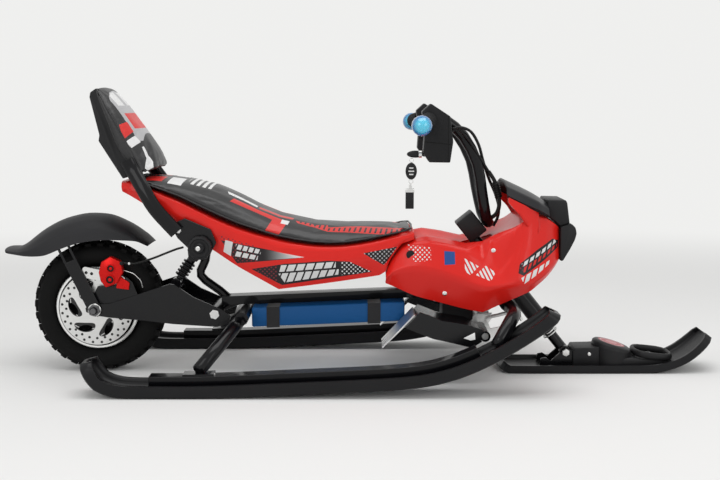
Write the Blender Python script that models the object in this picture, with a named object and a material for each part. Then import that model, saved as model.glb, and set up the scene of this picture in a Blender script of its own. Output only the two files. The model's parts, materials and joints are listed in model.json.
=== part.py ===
"""Electric snow scooter for a child: driven rear wheel, two side runners and a steered front ski.

Metres. +X is forward, +Y is the rider's left and +Z is up. The origin is on the floor,
in the middle of the length and on the centre plane.
"""

import math

import bmesh
import bpy
from mathutils import Vector

for leftover in list(bpy.data.objects):
    bpy.data.objects.remove(leftover, do_unlink=True)

# Clearances that every piece shares
seat_gap = 0.0003
running_gap = 0.0008
overrun = 0.02

# Rear wheel
tyre_radius = 0.135
tyre_width = 0.074
lug_height = 0.006
lug_count = 32
rim_radius = 0.086
rim_lip = 0.004
hub_width = 0.066
rotor_radius = 0.075
rotor_thickness = 0.003
rotor_offset = 0.009
axle_radius = 0.006
axle_nut_radius = 0.0125
axle_nut_length = 0.012

# Swing arm and its pivot
arm_plate = 0.004
arm_side_gap = 0.006
arm_length = 0.262
arm_height = 0.085
pivot_x = -0.29415
pivot_share = 0.925
web_clearance = 0.0143
web_thickness = 0.0157
web_foot_share = 0.20
arm_drop_share = 0.36
web_top_share = 0.80
pivot_radius = 0.007
shock_top_back = 0.027
shock_top_drop = 0.026
shock_eye_half = 0.012

# Frame
backbone_rear_x = -0.285
backbone_rear_z = 0.146
backbone_front_x = 0.325
backbone_front_z = 0.171
backbone_height = 0.018
backbone_width = 0.034
leg_radius = 0.0135
post_foot = 0.0133
strut_x = 0.300
strut_reach = 0.1083
strut_rise = 0.027
strut_radius = 0.004
cross_tube_x = -0.2350
rear_cross_half = 0.100
rear_foot_x = -0.305
front_cross_half = 0.060
front_foot_x = 0.268
front_cross_x = 0.2955

# Steering axis: a point on it and its lean from the vertical
steering_x = 0.376
steering_z = 0.100
steering_rake_deg = 38.8
head_tube_radius = 0.019
head_tube_wall = 0.0045
head_tube_low = 0.020
head_tube_high = 0.125
steerer_radius = 0.011
stem_low = 0.224
stem_length = 0.050
stem_depth = 0.042
stem_back = 0.012
stem_width = 0.050

# Handlebar
bar_radius = 0.0115
bar_end_y = 0.086
bar_rise = 0.250
grip_radius = 0.0155
grip_ball_radius = 0.0195
housing_width = 0.036
housing_height = 0.113
cable_radius = 0.0030
grip_x = 0.114
grip_y = 0.200
grip_z = 0.509

# Side runners
runner_y = 0.200
runner_width = 0.070
runner_rear_x = -0.527
runner_length = 0.902
runner_rise = 0.158
runner_height = 0.024
runner_floor = 0.010
runner_rim = 0.007
rail_width = 0.030
rail_height = 0.028
rail_rear_x = -0.400
rail_front_x = 0.236

# Front ski
ski_rear_x = 0.288
ski_length = 0.436
ski_rise = 0.074
ski_width = 0.100
ski_height = 0.017
ski_floor = 0.008
ski_rim = 0.006
ski_pivot_z = 0.040
ear_gap = 0.0195
ear_thickness = 0.004
ear_length = 0.106
pivot_bolt_radius = 0.005
sleeve_radius = 0.0115
reel_radius = 0.041
reel_height = 0.047
reel_lean = 0.24
reel_gap = 0.0061
handle_length = 0.074
handle_width = 0.072
handle_thin = 0.0045
handle_tall = 0.0075
handle_low = 0.0255
handle_fall = 0.004

# Saddle
seat_front_x = 0.122
seat_length = 0.592
seat_base_z = 0.180
seat_height = 0.224
seat_half_width = 0.100
seat_wall = 0.0035
knob_radius = 0.026
knob_depth = 0.020
cushion_gap = 0.0015

# Backrest
backrest_back = 0.078
backrest_drop = 0.008
backrest_depth = 0.156
backrest_height = 0.187
backrest_half_width = 0.086
backrest_arm_wide = 0.0145
backrest_arm_thin = 0.007

# Cowl and nose
cowl_lap = 0.071
cowl_length = 0.352
cowl_base_z = 0.137
cowl_height = 0.231
cowl_half_width = 0.122
cowl_wall = 0.0032
cowl_hole_low = 0.10
cowl_hole_high = 0.34
cowl_hole_radius = 0.0325
horn_drop = 0.0029

# Foot rests with their snow brake
plate_rear_x = 0.0872
plate_low_z = 0.0785
plate_length = 0.160
plate_height = 0.072
plate_inner_y = 0.060
plate_width = 0.090
plate_sheet = 0.004
shaft_x = 0.243
shaft_z = 0.101
shaft_radius = 0.0065
sleeve_outer = 0.0105
bracket_y = 0.056
bracket_sheet = 0.004
bracket_top_z = 0.1245
post_rear_x = 0.2425
post_length = 0.022
claw_top_x = 0.1085
claw_top_z = 0.14025
claw_tip_x = 0.0440
claw_tip_z = 0.07575
claw_sheet = 0.004

# Battery and controller
battery_rear_gap = 0.002
battery_length = 0.310
battery_height = 0.040
battery_width = 0.110
battery_drop = 0.0008
strap_thickness = 0.0016
strap_width = 0.026
controller_length = 0.062
controller_height = 0.046
controller_width = 0.080

# Fender
fender_radius = 0.195
fender_half_width = 0.0636
fender_wall = 0.003
stay_width = 0.026
stay_back = 0.046
stay_rise = 0.100
stay_thickness = 0.0035


def material(name, color, roughness, metallic=0.0):
    made = bpy.data.materials.new(name)
    made.use_nodes = True
    shader = made.node_tree.nodes["Principled BSDF"]
    shader.inputs["Base Color"].default_value = (*color, 1.0)
    shader.inputs["Roughness"].default_value = roughness
    shader.inputs["Metallic"].default_value = metallic
    made.diffuse_color = (*color, 1.0)
    return made


def red_plastic(name):
    return material(name + "_red", (0.75, 0.045, 0.03), 0.32)


def black_plastic(name):
    return material(name + "_black", (0.025, 0.025, 0.028), 0.5)


def black_paint(name):
    return material(name + "_paint", (0.018, 0.018, 0.02), 0.35)


def bare_steel(name):
    return material(name + "_steel", (0.72, 0.72, 0.72), 0.3, 1.0)


def add_object(name, mesh, finish, smooth_deg=35.0):
    mesh.shade_smooth()
    mesh.set_sharp_from_angle(angle=math.radians(smooth_deg))
    mesh.materials.clear()
    mesh.materials.append(finish)
    made = bpy.data.objects.new(name, mesh)
    bpy.context.scene.collection.objects.link(made)
    return made


def to_mesh(name, bm):
    mesh = bpy.data.meshes.new(name)
    bm.to_mesh(mesh)
    bm.free()
    return mesh


def place(shares, start, extent):
    """Points of an outline from shares of its length and height."""
    return [(start[0] + u * extent[0], start[1] + w * extent[1]) for u, w in shares]


def smooth(points, steps):
    """A Catmull-Rom curve through the points, with this many steps between each two."""
    line = [Vector(point) for point in points]
    ends = [2 * line[0] - line[1]] + line + [2 * line[-1] - line[-2]]
    curve = []
    for before, here, there, after in zip(ends, ends[1:], ends[2:], ends[3:]):
        for step in range(steps):
            t = step / steps
            curve.append(
                0.5
                * (
                    2 * here
                    + t * (there - before)
                    + t**2 * (2 * before - 5 * here + 4 * there - after)
                    + t**3 * (3 * here - before - 3 * there + after)
                )
            )
    return curve + [line[-1]]


def loft(sections, ring=True, caps=True):
    """A skin over sections that have the same number of points."""
    bm = bmesh.new()
    loops = [[bm.verts.new(point) for point in section] for section in sections]
    for first, second in zip(loops, loops[1:]):
        count = len(first)
        for i in range(count if ring else count - 1):
            j = (i + 1) % count
            bm.faces.new((first[i], first[j], second[j], second[i]))
    if caps:
        bm.faces.new(loops[0][::-1])
        bm.faces.new(loops[-1])
    bmesh.ops.remove_doubles(bm, verts=bm.verts, dist=seat_gap / 10)
    bmesh.ops.recalc_face_normals(bm, faces=bm.faces)
    if ring and caps and bm.calc_volume(signed=True) < 0:
        bmesh.ops.reverse_faces(bm, faces=bm.faces)
    return bm


def sweep(path, half_wide, half_thin, sides=12, across=Vector((0, 1, 0))):
    """A solid tube or bar along a path. Its thin side lies along the direction across."""
    path = [Vector(point) for point in path]
    sections = []
    for i, point in enumerate(path):
        tangent = (path[min(i + 1, len(path) - 1)] - path[max(i - 1, 0)]).normalized()
        thin = (across - tangent * across.dot(tangent)).normalized()
        wide = tangent.cross(thin)
        sections.append(
            [
                point
                + wide * half_wide * math.cos(2 * math.pi * k / sides)
                + thin * half_thin * math.sin(2 * math.pi * k / sides)
                for k in range(sides)
            ]
        )
    return loft(sections)


def tube(path, radius, sides=12):
    """A round bar along a path, turned with as little twist as it can."""
    path = [Vector(point) for point in path]
    tangents = [
        (path[min(i + 1, len(path) - 1)] - path[max(i - 1, 0)]).normalized()
        for i in range(len(path))
    ]
    start = tangents[0].orthogonal().normalized()
    sections = []
    for point, tangent in zip(path, tangents):
        start = (start - tangent * start.dot(tangent)).normalized()
        side = tangent.cross(start)
        sections.append(
            [
                point
                + start * radius * math.cos(2 * math.pi * k / sides)
                + side * radius * math.sin(2 * math.pi * k / sides)
                for k in range(sides)
            ]
        )
    return loft(sections)


def prism(outline, y_low, y_high, bevel=0.0):
    """An outline in the XZ plane, extruded from one Y to another."""
    bm = bmesh.new()
    face = bm.faces.new([bm.verts.new((x, y_low, z)) for x, z in outline])
    made = bmesh.ops.extrude_face_region(bm, geom=[face])
    moved = [item for item in made["geom"] if isinstance(item, bmesh.types.BMVert)]
    bmesh.ops.translate(bm, verts=moved, vec=(0, y_high - y_low, 0))
    bmesh.ops.recalc_face_normals(bm, faces=bm.faces)
    if bevel:
        bmesh.ops.bevel(
            bm, geom=bm.edges[:], offset=bevel, segments=2, profile=0.5, affect="EDGES",
            material=-1,
        )
    return bm


def revolve(profile, centre, axis, steps, closed=False):
    """Radius and height pairs, spun about an axis through a centre."""
    axis = Vector(axis).normalized()
    side = axis.orthogonal().normalized()
    bm = bmesh.new()
    verts = [
        bm.verts.new(Vector(centre) + side * radius + axis * along)
        for radius, along in profile
    ]
    pairs = list(zip(verts, verts[1:]))
    if closed:
        pairs.append((verts[-1], verts[0]))
    edges = [bm.edges.new(pair) for pair in pairs]
    bmesh.ops.spin(
        bm, geom=verts + edges, cent=centre, axis=axis, angle=2 * math.pi, steps=steps,
        use_merge=True,
    )
    bmesh.ops.remove_doubles(bm, verts=bm.verts, dist=seat_gap / 10)
    bmesh.ops.recalc_face_normals(bm, faces=bm.faces)
    return bm


def disc(centre, axis, radius, thickness, steps=24, rim=0.0):
    """A solid disc from a centre along an axis, its far edge rounded by rim."""
    profile = [(0, 0), (radius, 0), (radius, thickness - rim)]
    if rim:
        profile.append((radius - rim, thickness))
    profile.append((0, thickness))
    return revolve(profile, centre, axis, steps)


def box(low, high, bevel=0.0):
    outline = [(low[0], low[2]), (high[0], low[2]), (high[0], high[2]), (low[0], high[2])]
    return prism(outline, low[1], high[1], bevel)


def boolean(target, bm, operation):
    """The target mesh joined with or cut by a closed bmesh."""
    helper = bpy.data.objects.new("helper", to_mesh("helper", bm))
    holder = bpy.data.objects.new("holder", target)
    for item in (helper, holder):
        bpy.context.scene.collection.objects.link(item)
    step = holder.modifiers.new("step", "BOOLEAN")
    step.operation = operation
    step.solver = "EXACT"
    step.object = helper
    graph = bpy.context.evaluated_depsgraph_get()
    result = bpy.data.meshes.new_from_object(holder.evaluated_get(graph))
    bpy.data.objects.remove(holder, do_unlink=True)
    bpy.data.objects.remove(helper, do_unlink=True)
    return result


def fuse(shapes):
    result = to_mesh("fused", shapes[0])
    for shape in shapes[1:]:
        result = boolean(result, shape, "UNION")
    return result


def cut(mesh, shapes):
    for shape in shapes:
        mesh = boolean(mesh, shape, "DIFFERENCE")
    return mesh


def mirrored(points, side):
    return [(x, side * y, z) for x, y, z in points]


def thicken(bm, wall):
    """A closed shell from an open skin, with the wall on the skin's back."""
    bmesh.ops.remove_doubles(bm, verts=bm.verts, dist=seat_gap / 10)
    holder = bpy.data.objects.new("skin", to_mesh("skin", bm))
    bpy.context.scene.collection.objects.link(holder)
    step = holder.modifiers.new("wall", "SOLIDIFY")
    step.thickness = wall
    step.offset = -1
    step.use_even_offset = True
    graph = bpy.context.evaluated_depsgraph_get()
    result = bpy.data.meshes.new_from_object(holder.evaluated_get(graph))
    bpy.data.objects.remove(holder, do_unlink=True)
    return result


# Places worked out from the sizes
seat_rear_x = seat_front_x - seat_length
backrest_base_x = seat_rear_x - backrest_back
backrest_base_z = seat_base_z + seat_height - backrest_drop
cowl_rear_x = seat_front_x - cowl_lap
bar_front = stem_depth - stem_back + bar_radius + 2 * seat_gap
axle_x = pivot_x - pivot_share * arm_length
axle_z = tyre_radius
web_x = axle_x + tyre_radius + web_clearance
axle_centre = Vector((axle_x, 0, axle_z))
arm_inner_y = hub_width / 2 + rotor_offset + rotor_thickness + arm_side_gap
arm_outer_y = arm_inner_y + arm_plate
rake = math.radians(steering_rake_deg)
axis_up = Vector((-math.sin(rake), 0, math.cos(rake)))
axis_front = Vector((math.cos(rake), 0, math.sin(rake)))
axis_foot = Vector((steering_x, 0, steering_z))


def on_axis(up, front=0.0, side=0.0):
    """A point given by its place along and in front of the steering axis."""
    return axis_foot + axis_up * up + axis_front * front + Vector((0, side, 0))


def backbone_at(x):
    """The height of the backbone's centre line at a place along it."""
    share = (x - backbone_rear_x) / (backbone_front_x - backbone_rear_x)
    return backbone_rear_z + share * (backbone_front_z - backbone_rear_z)


cross_tube_z = backbone_at(cross_tube_x) - backbone_height / 2 - leg_radius - seat_gap
battery_rear_x = cross_tube_x + leg_radius + battery_rear_gap
bar_half = seat_half_width + 2 * seat_gap
bracket_outer_y = bar_half + seat_gap + arm_plate
ski_pivot_up = (ski_pivot_z - steering_z) / axis_up.z
ski_pivot = on_axis(ski_pivot_up)
reel_x = ski_pivot.x + ear_length / 2 + reel_gap + reel_radius

wheel_axis = bpy.data.objects.new("wheel_axis", None)
wheel_axis.location = axle_centre
steering_axis = bpy.data.objects.new("steering_axis", None)
steering_axis.location = axis_foot
ski_axis = bpy.data.objects.new("ski_axis", None)
ski_axis.location = ski_pivot
for empty in (wheel_axis, steering_axis, ski_axis):
    bpy.context.scene.collection.objects.link(empty)
ski_axis.parent = steering_axis
ski_axis.location = ski_pivot - axis_foot
bpy.context.view_layer.update()


def hang(piece, empty):
    piece.parent = empty
    piece.matrix_parent_inverse = empty.matrix_world.inverted()
    return piece


def tyre():
    """A tubeless knobby tyre: a turned carcass whose tread blocks are extruded from it."""
    crown = tyre_radius - lug_height
    profile_shares = (
        (0.00, -0.33), (0.16, -0.43), (0.45, -0.50), (0.74, -0.45), (0.92, -0.32),
        (1.00, -0.12), (1.00, 0.12), (0.92, 0.32), (0.74, 0.45), (0.45, 0.50),
        (0.16, 0.43), (0.00, 0.33),
    )
    bead = rim_radius + seat_gap
    profile = [(bead + u * (crown - bead), w * tyre_width) for u, w in profile_shares]
    bm = revolve(profile, axle_centre, (0, 1, 0), 2 * lug_count, closed=True)
    middle_y = 0.12 * tyre_width
    side_y = 0.32 * tyre_width
    lugs = []
    for face in bm.faces:
        centre = face.calc_center_median()
        out = centre - axle_centre
        radius = math.hypot(out.x, out.z)
        turn = math.atan2(out.z, out.x) / (2 * math.pi) * 2 * lug_count
        step = int(math.floor(turn)) % 2
        if radius < crown * 0.86 or abs(centre.y) > side_y * 1.2:
            continue
        in_middle = abs(centre.y) < middle_y
        if step == (0 if in_middle else 1):
            lugs.append(face)
    for face in lugs:
        centre = face.calc_center_median()
        out = (centre - axle_centre) * Vector((1, 0, 1))
        made = bmesh.ops.extrude_discrete_faces(bm, faces=[face])["faces"][0]
        bmesh.ops.translate(
            bm, verts=made.verts, vec=out.normalized() * lug_height
        )
    limit = tyre_radius
    for vert in bm.verts:
        out = (vert.co - axle_centre) * Vector((1, 0, 1))
        if out.length > limit:
            vert.co -= out.normalized() * (out.length - limit)
    made = add_object("tyre", to_mesh("tyre", bm), material("rubber", (0.02, 0.02, 0.02), 0.85), 25)
    return hang(made, wheel_axis)


def wheel_hub():
    """The rim with its two lips, and the hub motor's drum inside it."""
    half = hub_width / 2
    seat = tyre_width * 0.33
    bore = axle_radius + running_gap
    profile = [
        (bore, -half), (rim_radius * 0.42, -half), (rim_radius * 0.50, -half * 0.86),
        (rim_radius * 0.86, -half * 0.80), (rim_radius * 0.90, -half * 0.98),
        (rim_radius, -half * 0.98), (rim_radius, -seat - 0.4 * rim_lip),
        (rim_radius, seat + 0.4 * rim_lip), (rim_radius, half * 0.98),
        (rim_radius * 0.90, half * 0.98), (rim_radius * 0.86, half * 0.80),
        (rim_radius * 0.50, half * 0.86), (rim_radius * 0.42, half), (bore, half),
    ]
    bm = revolve(profile, axle_centre, (0, 1, 0), 36, closed=True)
    made = add_object("wheel_hub", to_mesh("wheel_hub", bm), black_paint("hub"))
    return hang(made, wheel_axis)


def brake_rotor():
    """A drilled disc with curved windows, on a boss against the hub's right face."""
    face_y = -hub_width / 2 - seat_gap
    bore = axle_radius + running_gap
    carrier = rotor_radius * 0.36
    profile = [
        (bore, 0), (carrier, 0), (carrier, rotor_offset), (rotor_radius, rotor_offset),
        (rotor_radius, rotor_offset + rotor_thickness), (bore, rotor_offset + rotor_thickness),
    ]
    mesh = to_mesh("rotor", revolve(profile, (axle_x, face_y, axle_z), (0, -1, 0), 36, closed=True))
    windows = []
    window_count = 6
    for k in range(window_count):
        turn = 2 * math.pi * k / window_count
        reach = rotor_radius * 0.62
        spot = Vector((axle_x + reach * math.cos(turn), face_y, axle_z + reach * math.sin(turn)))
        through = Vector((0, overrun, 0))
        slant = Vector((math.cos(turn + 0.6), 0, math.sin(turn + 0.6)))
        windows.append(
            sweep([spot + through, spot - through], rotor_radius * 0.20, rotor_radius * 0.09, 10, slant)
        )
    mesh = cut(mesh, windows)
    made = add_object("brake_rotor", mesh, bare_steel("rotor"))
    return hang(made, wheel_axis)


def rear_axle():
    """The fixed axle that the wheel turns on, with a nut at each end."""
    reach = arm_outer_y + 2 * stay_thickness + axle_nut_length
    shaft = tube([axle_centre + Vector((0, s * reach, 0)) for s in (-1, 1)], axle_radius, 12)
    nuts = [shaft]
    for side in (-1, 1):
        inner = arm_outer_y + stay_thickness + 2 * seat_gap
        centre = axle_centre + Vector((0, side * inner, 0))
        nuts.append(disc(centre, (0, side, 0), axle_nut_radius, axle_nut_length * 0.6, 6))
    return add_object("rear_axle", fuse(nuts), bare_steel("axle"))


def swing_arm():
    """Two folded side plates from the axle to the pivot, joined by a web ahead of the tyre."""
    side_shares = (
        (-0.075, 0.40), (-0.070, 0.30), (0.00, 0.22), (0.10, 0.17), (0.39, 0.09), (0.60, 0.01),
        (0.94, -0.06), (1.03, 0.02), (1.05, 0.20), (0.98, 0.36), (0.76, 0.66), (0.62, 0.96),
        (0.58, 0.98), (0.38, 0.78), (0.12, 0.51), (-0.03, 0.47),
    )
    start = (axle_x, axle_z - arm_drop_share * arm_height)
    outline = place(side_shares, start, (arm_length, arm_height))
    shapes = []
    for side in (-1, 1):
        low = min(side * arm_inner_y, side * arm_outer_y)
        shapes.append(prism(outline, low, low + arm_plate))
    low_z, high_z = [start[1] + share * arm_height for share in (web_foot_share, web_top_share)]
    web = [
        (web_x, low_z), (web_x + web_thickness, low_z), (web_x + web_thickness, high_z),
        (web_x, high_z),
    ]
    lap = arm_plate / 2
    shapes.append(prism(web, -arm_inner_y - lap, arm_inner_y + lap))
    mesh = fuse(shapes)
    bore = axle_radius + seat_gap
    hole = tube([axle_centre + Vector((0, s * (arm_outer_y + overrun), 0)) for s in (-1, 1)], bore, 12)
    mesh = cut(mesh, [hole])
    pivot = swing_pivot()
    bolt = tube(
        [pivot + Vector((0, s * (arm_outer_y + overrun), 0)) for s in (-1, 1)],
        pivot_radius + seat_gap, 12,
    )
    mesh = cut(mesh, [bolt])
    return add_object("swing_arm", mesh, black_paint("swing_arm"))


def swing_pivot():
    return Vector((pivot_x, 0, axle_z - 0.1 * arm_height))


def swing_pivot_bolt():
    """The hexagon bolt that holds the swing arm to the frame."""
    pivot = swing_pivot()
    reach = arm_outer_y + seat_gap
    shapes = [
        tube(
            [pivot + Vector((0, s * (reach + pivot_radius / 2), 0)) for s in (-1, 1)],
            pivot_radius, 12,
        )
    ]
    for side in (-1, 1):
        centre = pivot + Vector((0, side * reach, 0))
        shapes.append(disc(centre, (0, side, 0), pivot_radius * 1.45, pivot_radius, 6))
    return add_object("swing_pivot_bolt", fuse(shapes), bare_steel("pivot"))


def main_frame():
    """The backbone beam with the head tube, the pivot lug, the cross tube and the saddle post."""
    half = backbone_height / 2
    wide = backbone_width / 2
    outline = [
        (backbone_rear_x, backbone_rear_z - half), (backbone_front_x, backbone_front_z - half),
        (backbone_front_x, backbone_front_z + half), (backbone_rear_x, backbone_rear_z + half),
    ]
    shapes = [prism(outline, -wide, wide)]
    shapes.append(tube([on_axis(head_tube_low), on_axis(head_tube_high)], head_tube_radius, 20))
    pivot = swing_pivot()
    lug_y = arm_inner_y - seat_gap
    shapes.append(tube([pivot + Vector((0, s * lug_y, 0)) for s in (-1, 1)], pivot_radius * 2, 16))
    neck = [(pivot.x, pivot.z), (backbone_rear_x + 2 * backbone_height, backbone_rear_z)]
    shapes.append(
        tube([(neck[0][0], 0, neck[0][1]), (neck[1][0], 0, neck[1][1])], backbone_height * 0.55, 10)
    )
    post_top = saddle_post_top()
    foot_x = backbone_rear_x + post_foot
    post = place(
        post_shares, (foot_x, backbone_rear_z), (post_top.x - foot_x, post_top.z - backbone_rear_z),
    )
    shapes.append(tube(smooth([(x, 0, z) for x, z in post], 3), backbone_height * 0.5, 10))
    bar = [post_top + Vector((0, s * bar_half, 0)) for s in (-1, 1)]
    shapes.append(tube(bar, backbone_height * 0.5, 12))
    strut_z = backbone_at(strut_x)
    strut = [Vector((strut_x, 0, strut_z))]
    for side in (-1, 1):
        end = Vector((strut_x, side * strut_reach, strut_z + strut_rise))
        shapes.append(tube(strut + [end], strut_radius, 8))
    ear = shock_top()
    plate_low = shock_eye_half + seat_gap
    for side in (-1, 1):
        bounds = sorted((side * plate_low, side * (plate_low + arm_plate)))
        shares = ((-0.5, -0.5), (0.4, -0.6), (1.6, 0.6), (1.7, 1.5), (0.9, 1.6), (-0.6, 0.5))
        plate = place(shares, (ear.x, ear.z), (backbone_height, backbone_height))
        shapes.append(prism(plate, bounds[0], bounds[1]))
    mesh = fuse(shapes)
    bore = tube(
        [on_axis(head_tube_low - overrun), on_axis(head_tube_high + overrun)],
        head_tube_radius - head_tube_wall, 20,
    )
    hole = tube(
        [pivot + Vector((0, s * (lug_y + overrun), 0)) for s in (-1, 1)], pivot_radius + seat_gap,
        12,
    )
    mesh = cut(mesh, [bore, hole])
    return add_object("main_frame", mesh, black_paint("frame"))


# Up the saddle post: shares of its reach and of its rise
post_shares = ((0.00, 0.02), (0.44, 0.16), (1.33, 0.43), (1.10, 0.70), (1.00, 1.00))


def shock_top():
    """The centre of the damper's upper eye, behind and below the saddle bar."""
    return saddle_post_top() - Vector((shock_top_back, 0, shock_top_drop))


def saddle_post_top():
    return Vector((seat_rear_x + 0.262 * seat_length, 0, seat_base_z + 0.375 * seat_height))


def shock_absorber():
    """The damper with its coil spring, from the saddle bar to the swing arm's web."""
    body_radius = backbone_height * 0.5
    eye_radius = body_radius * 1.1
    web_top = axle_z + (web_top_share - arm_drop_share) * arm_height
    foot = Vector((web_x + web_thickness / 2, 0, web_top + eye_radius + seat_gap))
    top = shock_top()
    line = (top - foot).normalized()
    coil_radius = body_radius * 1.5
    turns = 5
    length = (top - foot).length
    low_share, high_share = 0.22, 0.80
    profile = [(0, 0), (body_radius * 0.7, 0), (body_radius * 0.7, length * 0.2)]
    for k in range(turns):
        low = length * (low_share + (high_share - low_share) * k / turns)
        high = length * (low_share + (high_share - low_share) * (k + 0.6) / turns)
        profile += [(body_radius, low), (coil_radius, low + 0.25 * (high - low))]
        profile += [(coil_radius, high - 0.25 * (high - low)), (body_radius, high)]
    profile += [(body_radius, length * 0.86), (body_radius, length), (0, length)]
    shapes = [revolve(profile, foot, line, 14)]
    for centre in (foot, top):
        shapes.append(
            tube([centre + Vector((0, s * shock_eye_half, 0)) for s in (-1, 1)], eye_radius, 14)
        )
    return add_object("shock_absorber", fuse(shapes), bare_steel("shock"))


def runner_line():
    """The curve of a side runner's sole, as points with the direction across the sole."""
    sole_shares = (
        (0.000, 0.400), (0.008, 0.270), (0.030, 0.110), (0.070, 0.018), (0.130, 0.000), (0.250, 0.000),
        (0.420, 0.040), (0.580, 0.080), (0.680, 0.115), (0.745, 0.170), (0.805, 0.275), (0.860, 0.420),
        (0.915, 0.600), (0.965, 0.790), (0.992, 0.920), (1.000, 1.000),
    )
    points = place(sole_shares, (runner_rear_x, 0), (runner_length, runner_rise))
    curve = smooth([(x, 0, z) for x, z in points], 2)
    line = []
    for i, point in enumerate(curve):
        along = (curve[min(i + 1, len(curve) - 1)] - curve[max(i - 1, 0)]).normalized()
        point.z = max(point.z, 0)
        line.append((point, Vector((-along.z, 0, along.x))))
    return line


def ski_section(point, up, centre_y, width, height, floor, rim, taper):
    """A trough section: a flat sole, two rims and the floor between them."""
    half = width / 2 * taper
    inner = half - rim
    chamfer = rim * 0.4
    across_and_up = (
        (-half, chamfer), (-half + chamfer, 0), (half - chamfer, 0), (half, chamfer), (half, height),
        (inner, height), (inner - chamfer, floor), (-inner + chamfer, floor), (-inner, height),
        (-half, height),
    )
    return [point + up * rise + Vector((0, centre_y + across, 0)) for across, rise in across_and_up]


def taper_at(share, tail, tip):
    """How the width narrows over the tail and the tip, as a share of the full width."""
    if share < tail:
        return 0.62 + 0.38 * math.sqrt(1 - (1 - share / tail) ** 2)
    if share > 1 - tip:
        return 0.62 + 0.38 * math.sqrt(max(0.0, 1 - ((share - 1 + tip) / tip) ** 2))
    return 1.0


def runner_ski(name, side):
    line = runner_line()
    sections = []
    for i, (point, up) in enumerate(line):
        share = i / (len(line) - 1)
        taper = taper_at(share, 0.14, 0.12)
        sections.append(
            ski_section(
                point, up, side * runner_y, runner_width, runner_height, runner_floor, runner_rim, taper
            )
        )
    return add_object(name, to_mesh(name, loft(sections)), black_plastic(name))


def runner_at(x):
    """The sole's point and upward direction at a place along it."""
    line = runner_line()
    for (first, up_first), (second, up_second) in zip(line, line[1:]):
        if first.x <= x <= second.x:
            share = (x - first.x) / (second.x - first.x)
            return first.lerp(second, share), up_first.lerp(up_second, share).normalized()
    return line[-1]


def runner_strip(x_low, x_high, side, half, low, high):
    """A solid strip that follows the runner, from one height above the sole to another."""
    stations = [runner_at(x_low)]
    stations += [item for item in runner_line() if x_low < item[0].x < x_high]
    stations.append(runner_at(x_high))
    sections = []
    for point, up in stations:
        corners = ((-half, low), (half, low), (half, high), (-half, high))
        sections.append(
            [point + up * rise + Vector((0, side * runner_y + across, 0)) for across, rise in corners]
        )
    return loft(sections)


def runner_rail(name, side):
    """The steel box rail that lies in the runner's trough and follows its curve."""
    low = runner_floor + seat_gap
    strip = runner_strip(rail_rear_x, rail_front_x, side, rail_width / 2, low, low + rail_height)
    return add_object(name, to_mesh(name, strip), black_paint(name))


def leg_bridge(name, foot_x, foot_low, route_shares, top, cross_half):
    """A cross tube and two legs splayed down to the rails, each on a bolted foot plate."""
    shapes = [tube([(top.x, s * cross_half, top.z) for s in (-1, 1)], leg_radius, 12)]
    plate = leg_radius * 0.3
    sole, up = runner_at(foot_x)
    foot = sole + up * (foot_low + plate + leg_radius * 0.35)
    reach = leg_radius * 2.2
    for side in (-1, 1):
        points = [(top.x, side * cross_half / 2, top.z)]
        for along, out, down in route_shares + ((1, 1, 1),):
            x = top.x + along * (foot.x - top.x)
            points.append((x, side * out * runner_y, top.z + down * (foot.z - top.z)))
        shapes.append(tube(smooth(points, 3), leg_radius, 12))
        shapes.append(
            runner_strip(
                foot_x - reach, foot_x + reach, side, rail_width * 0.48, foot_low, foot_low + plate,
            )
        )
    mesh = fuse(shapes)
    below = [
        runner_strip(
            foot_x - 2 * reach, foot_x + 2 * reach, side, rail_width, foot_low - overrun, foot_low,
        )
        for side in (-1, 1)
    ]
    return add_object(name, cut(mesh, below), black_paint(name))


# Down a leg: shares of its reach, its spread and its drop
rear_leg_shares = ((0.380, 0.625, 0.388),)
front_leg_shares = ((-0.176, 0.600, 0.075), (0.122, 0.830, 0.150), (0.638, 0.950, 0.618))


def seat_base():
    """The moulded saddle base: a skirted shell whose lower edge drops to a point each side."""
    half = seat_half_width
    rows = []
    for u, seam, low, wide, tuck in seat_base_shares:
        x = seat_rear_x + u * seat_length
        top_z = seat_base_z + seam * seat_height
        low_z = seat_base_z + low * seat_height
        edge = half * wide
        rows.append(
            [
                (x, -edge * tuck, low_z), (x, -edge, low_z + (top_z - low_z) * 0.55),
                (x, -edge * 0.97, top_z), (x, -edge * 0.86, top_z + seat_wall),
                (x, edge * 0.86, top_z + seat_wall), (x, edge * 0.97, top_z),
                (x, edge, low_z + (top_z - low_z) * 0.55), (x, edge * tuck, low_z),
            ]
        )
    bm = loft(rows, ring=False, caps=False)
    mesh = thicken(bm, seat_wall)
    return add_object("seat_base", mesh, red_plastic("seat_base"))


# Along the saddle: seam height, lower edge, width and tuck of the lower edge
seat_base_shares = (
    (0.000, 0.955, 0.880, 0.80, 0.92), (0.030, 0.955, 0.845, 0.90, 0.92),
    (0.100, 0.890, 0.735, 0.97, 0.90), (0.190, 0.800, 0.560, 1.00, 0.88),
    (0.300, 0.650, 0.370, 1.00, 0.86), (0.385, 0.550, 0.215, 1.00, 0.86),
    (0.520, 0.440, 0.010, 0.98, 0.84), (0.640, 0.385, 0.050, 0.96, 0.86),
    (0.750, 0.385, 0.090, 0.93, 0.88), (0.860, 0.440, 0.135, 0.90, 0.90),
    (0.880, 0.452, 0.170, 0.89, 0.92), (0.890, 0.458, 0.250, 0.88, 0.93),
    (0.907, 0.468, 0.330, 0.87, 0.94), (0.934, 0.485, 0.418, 0.86, 0.96),
    (0.975, 0.510, 0.455, 0.82, 0.98),
)


def seam_at(u):
    """The seam's height share at a place along the saddle."""
    for first, second in zip(seat_base_shares, seat_base_shares[1:]):
        if first[0] <= u <= second[0]:
            return first[1] + (second[1] - first[1]) * (u - first[0]) / (second[0] - first[0])
    return seat_base_shares[-1][1]


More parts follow.
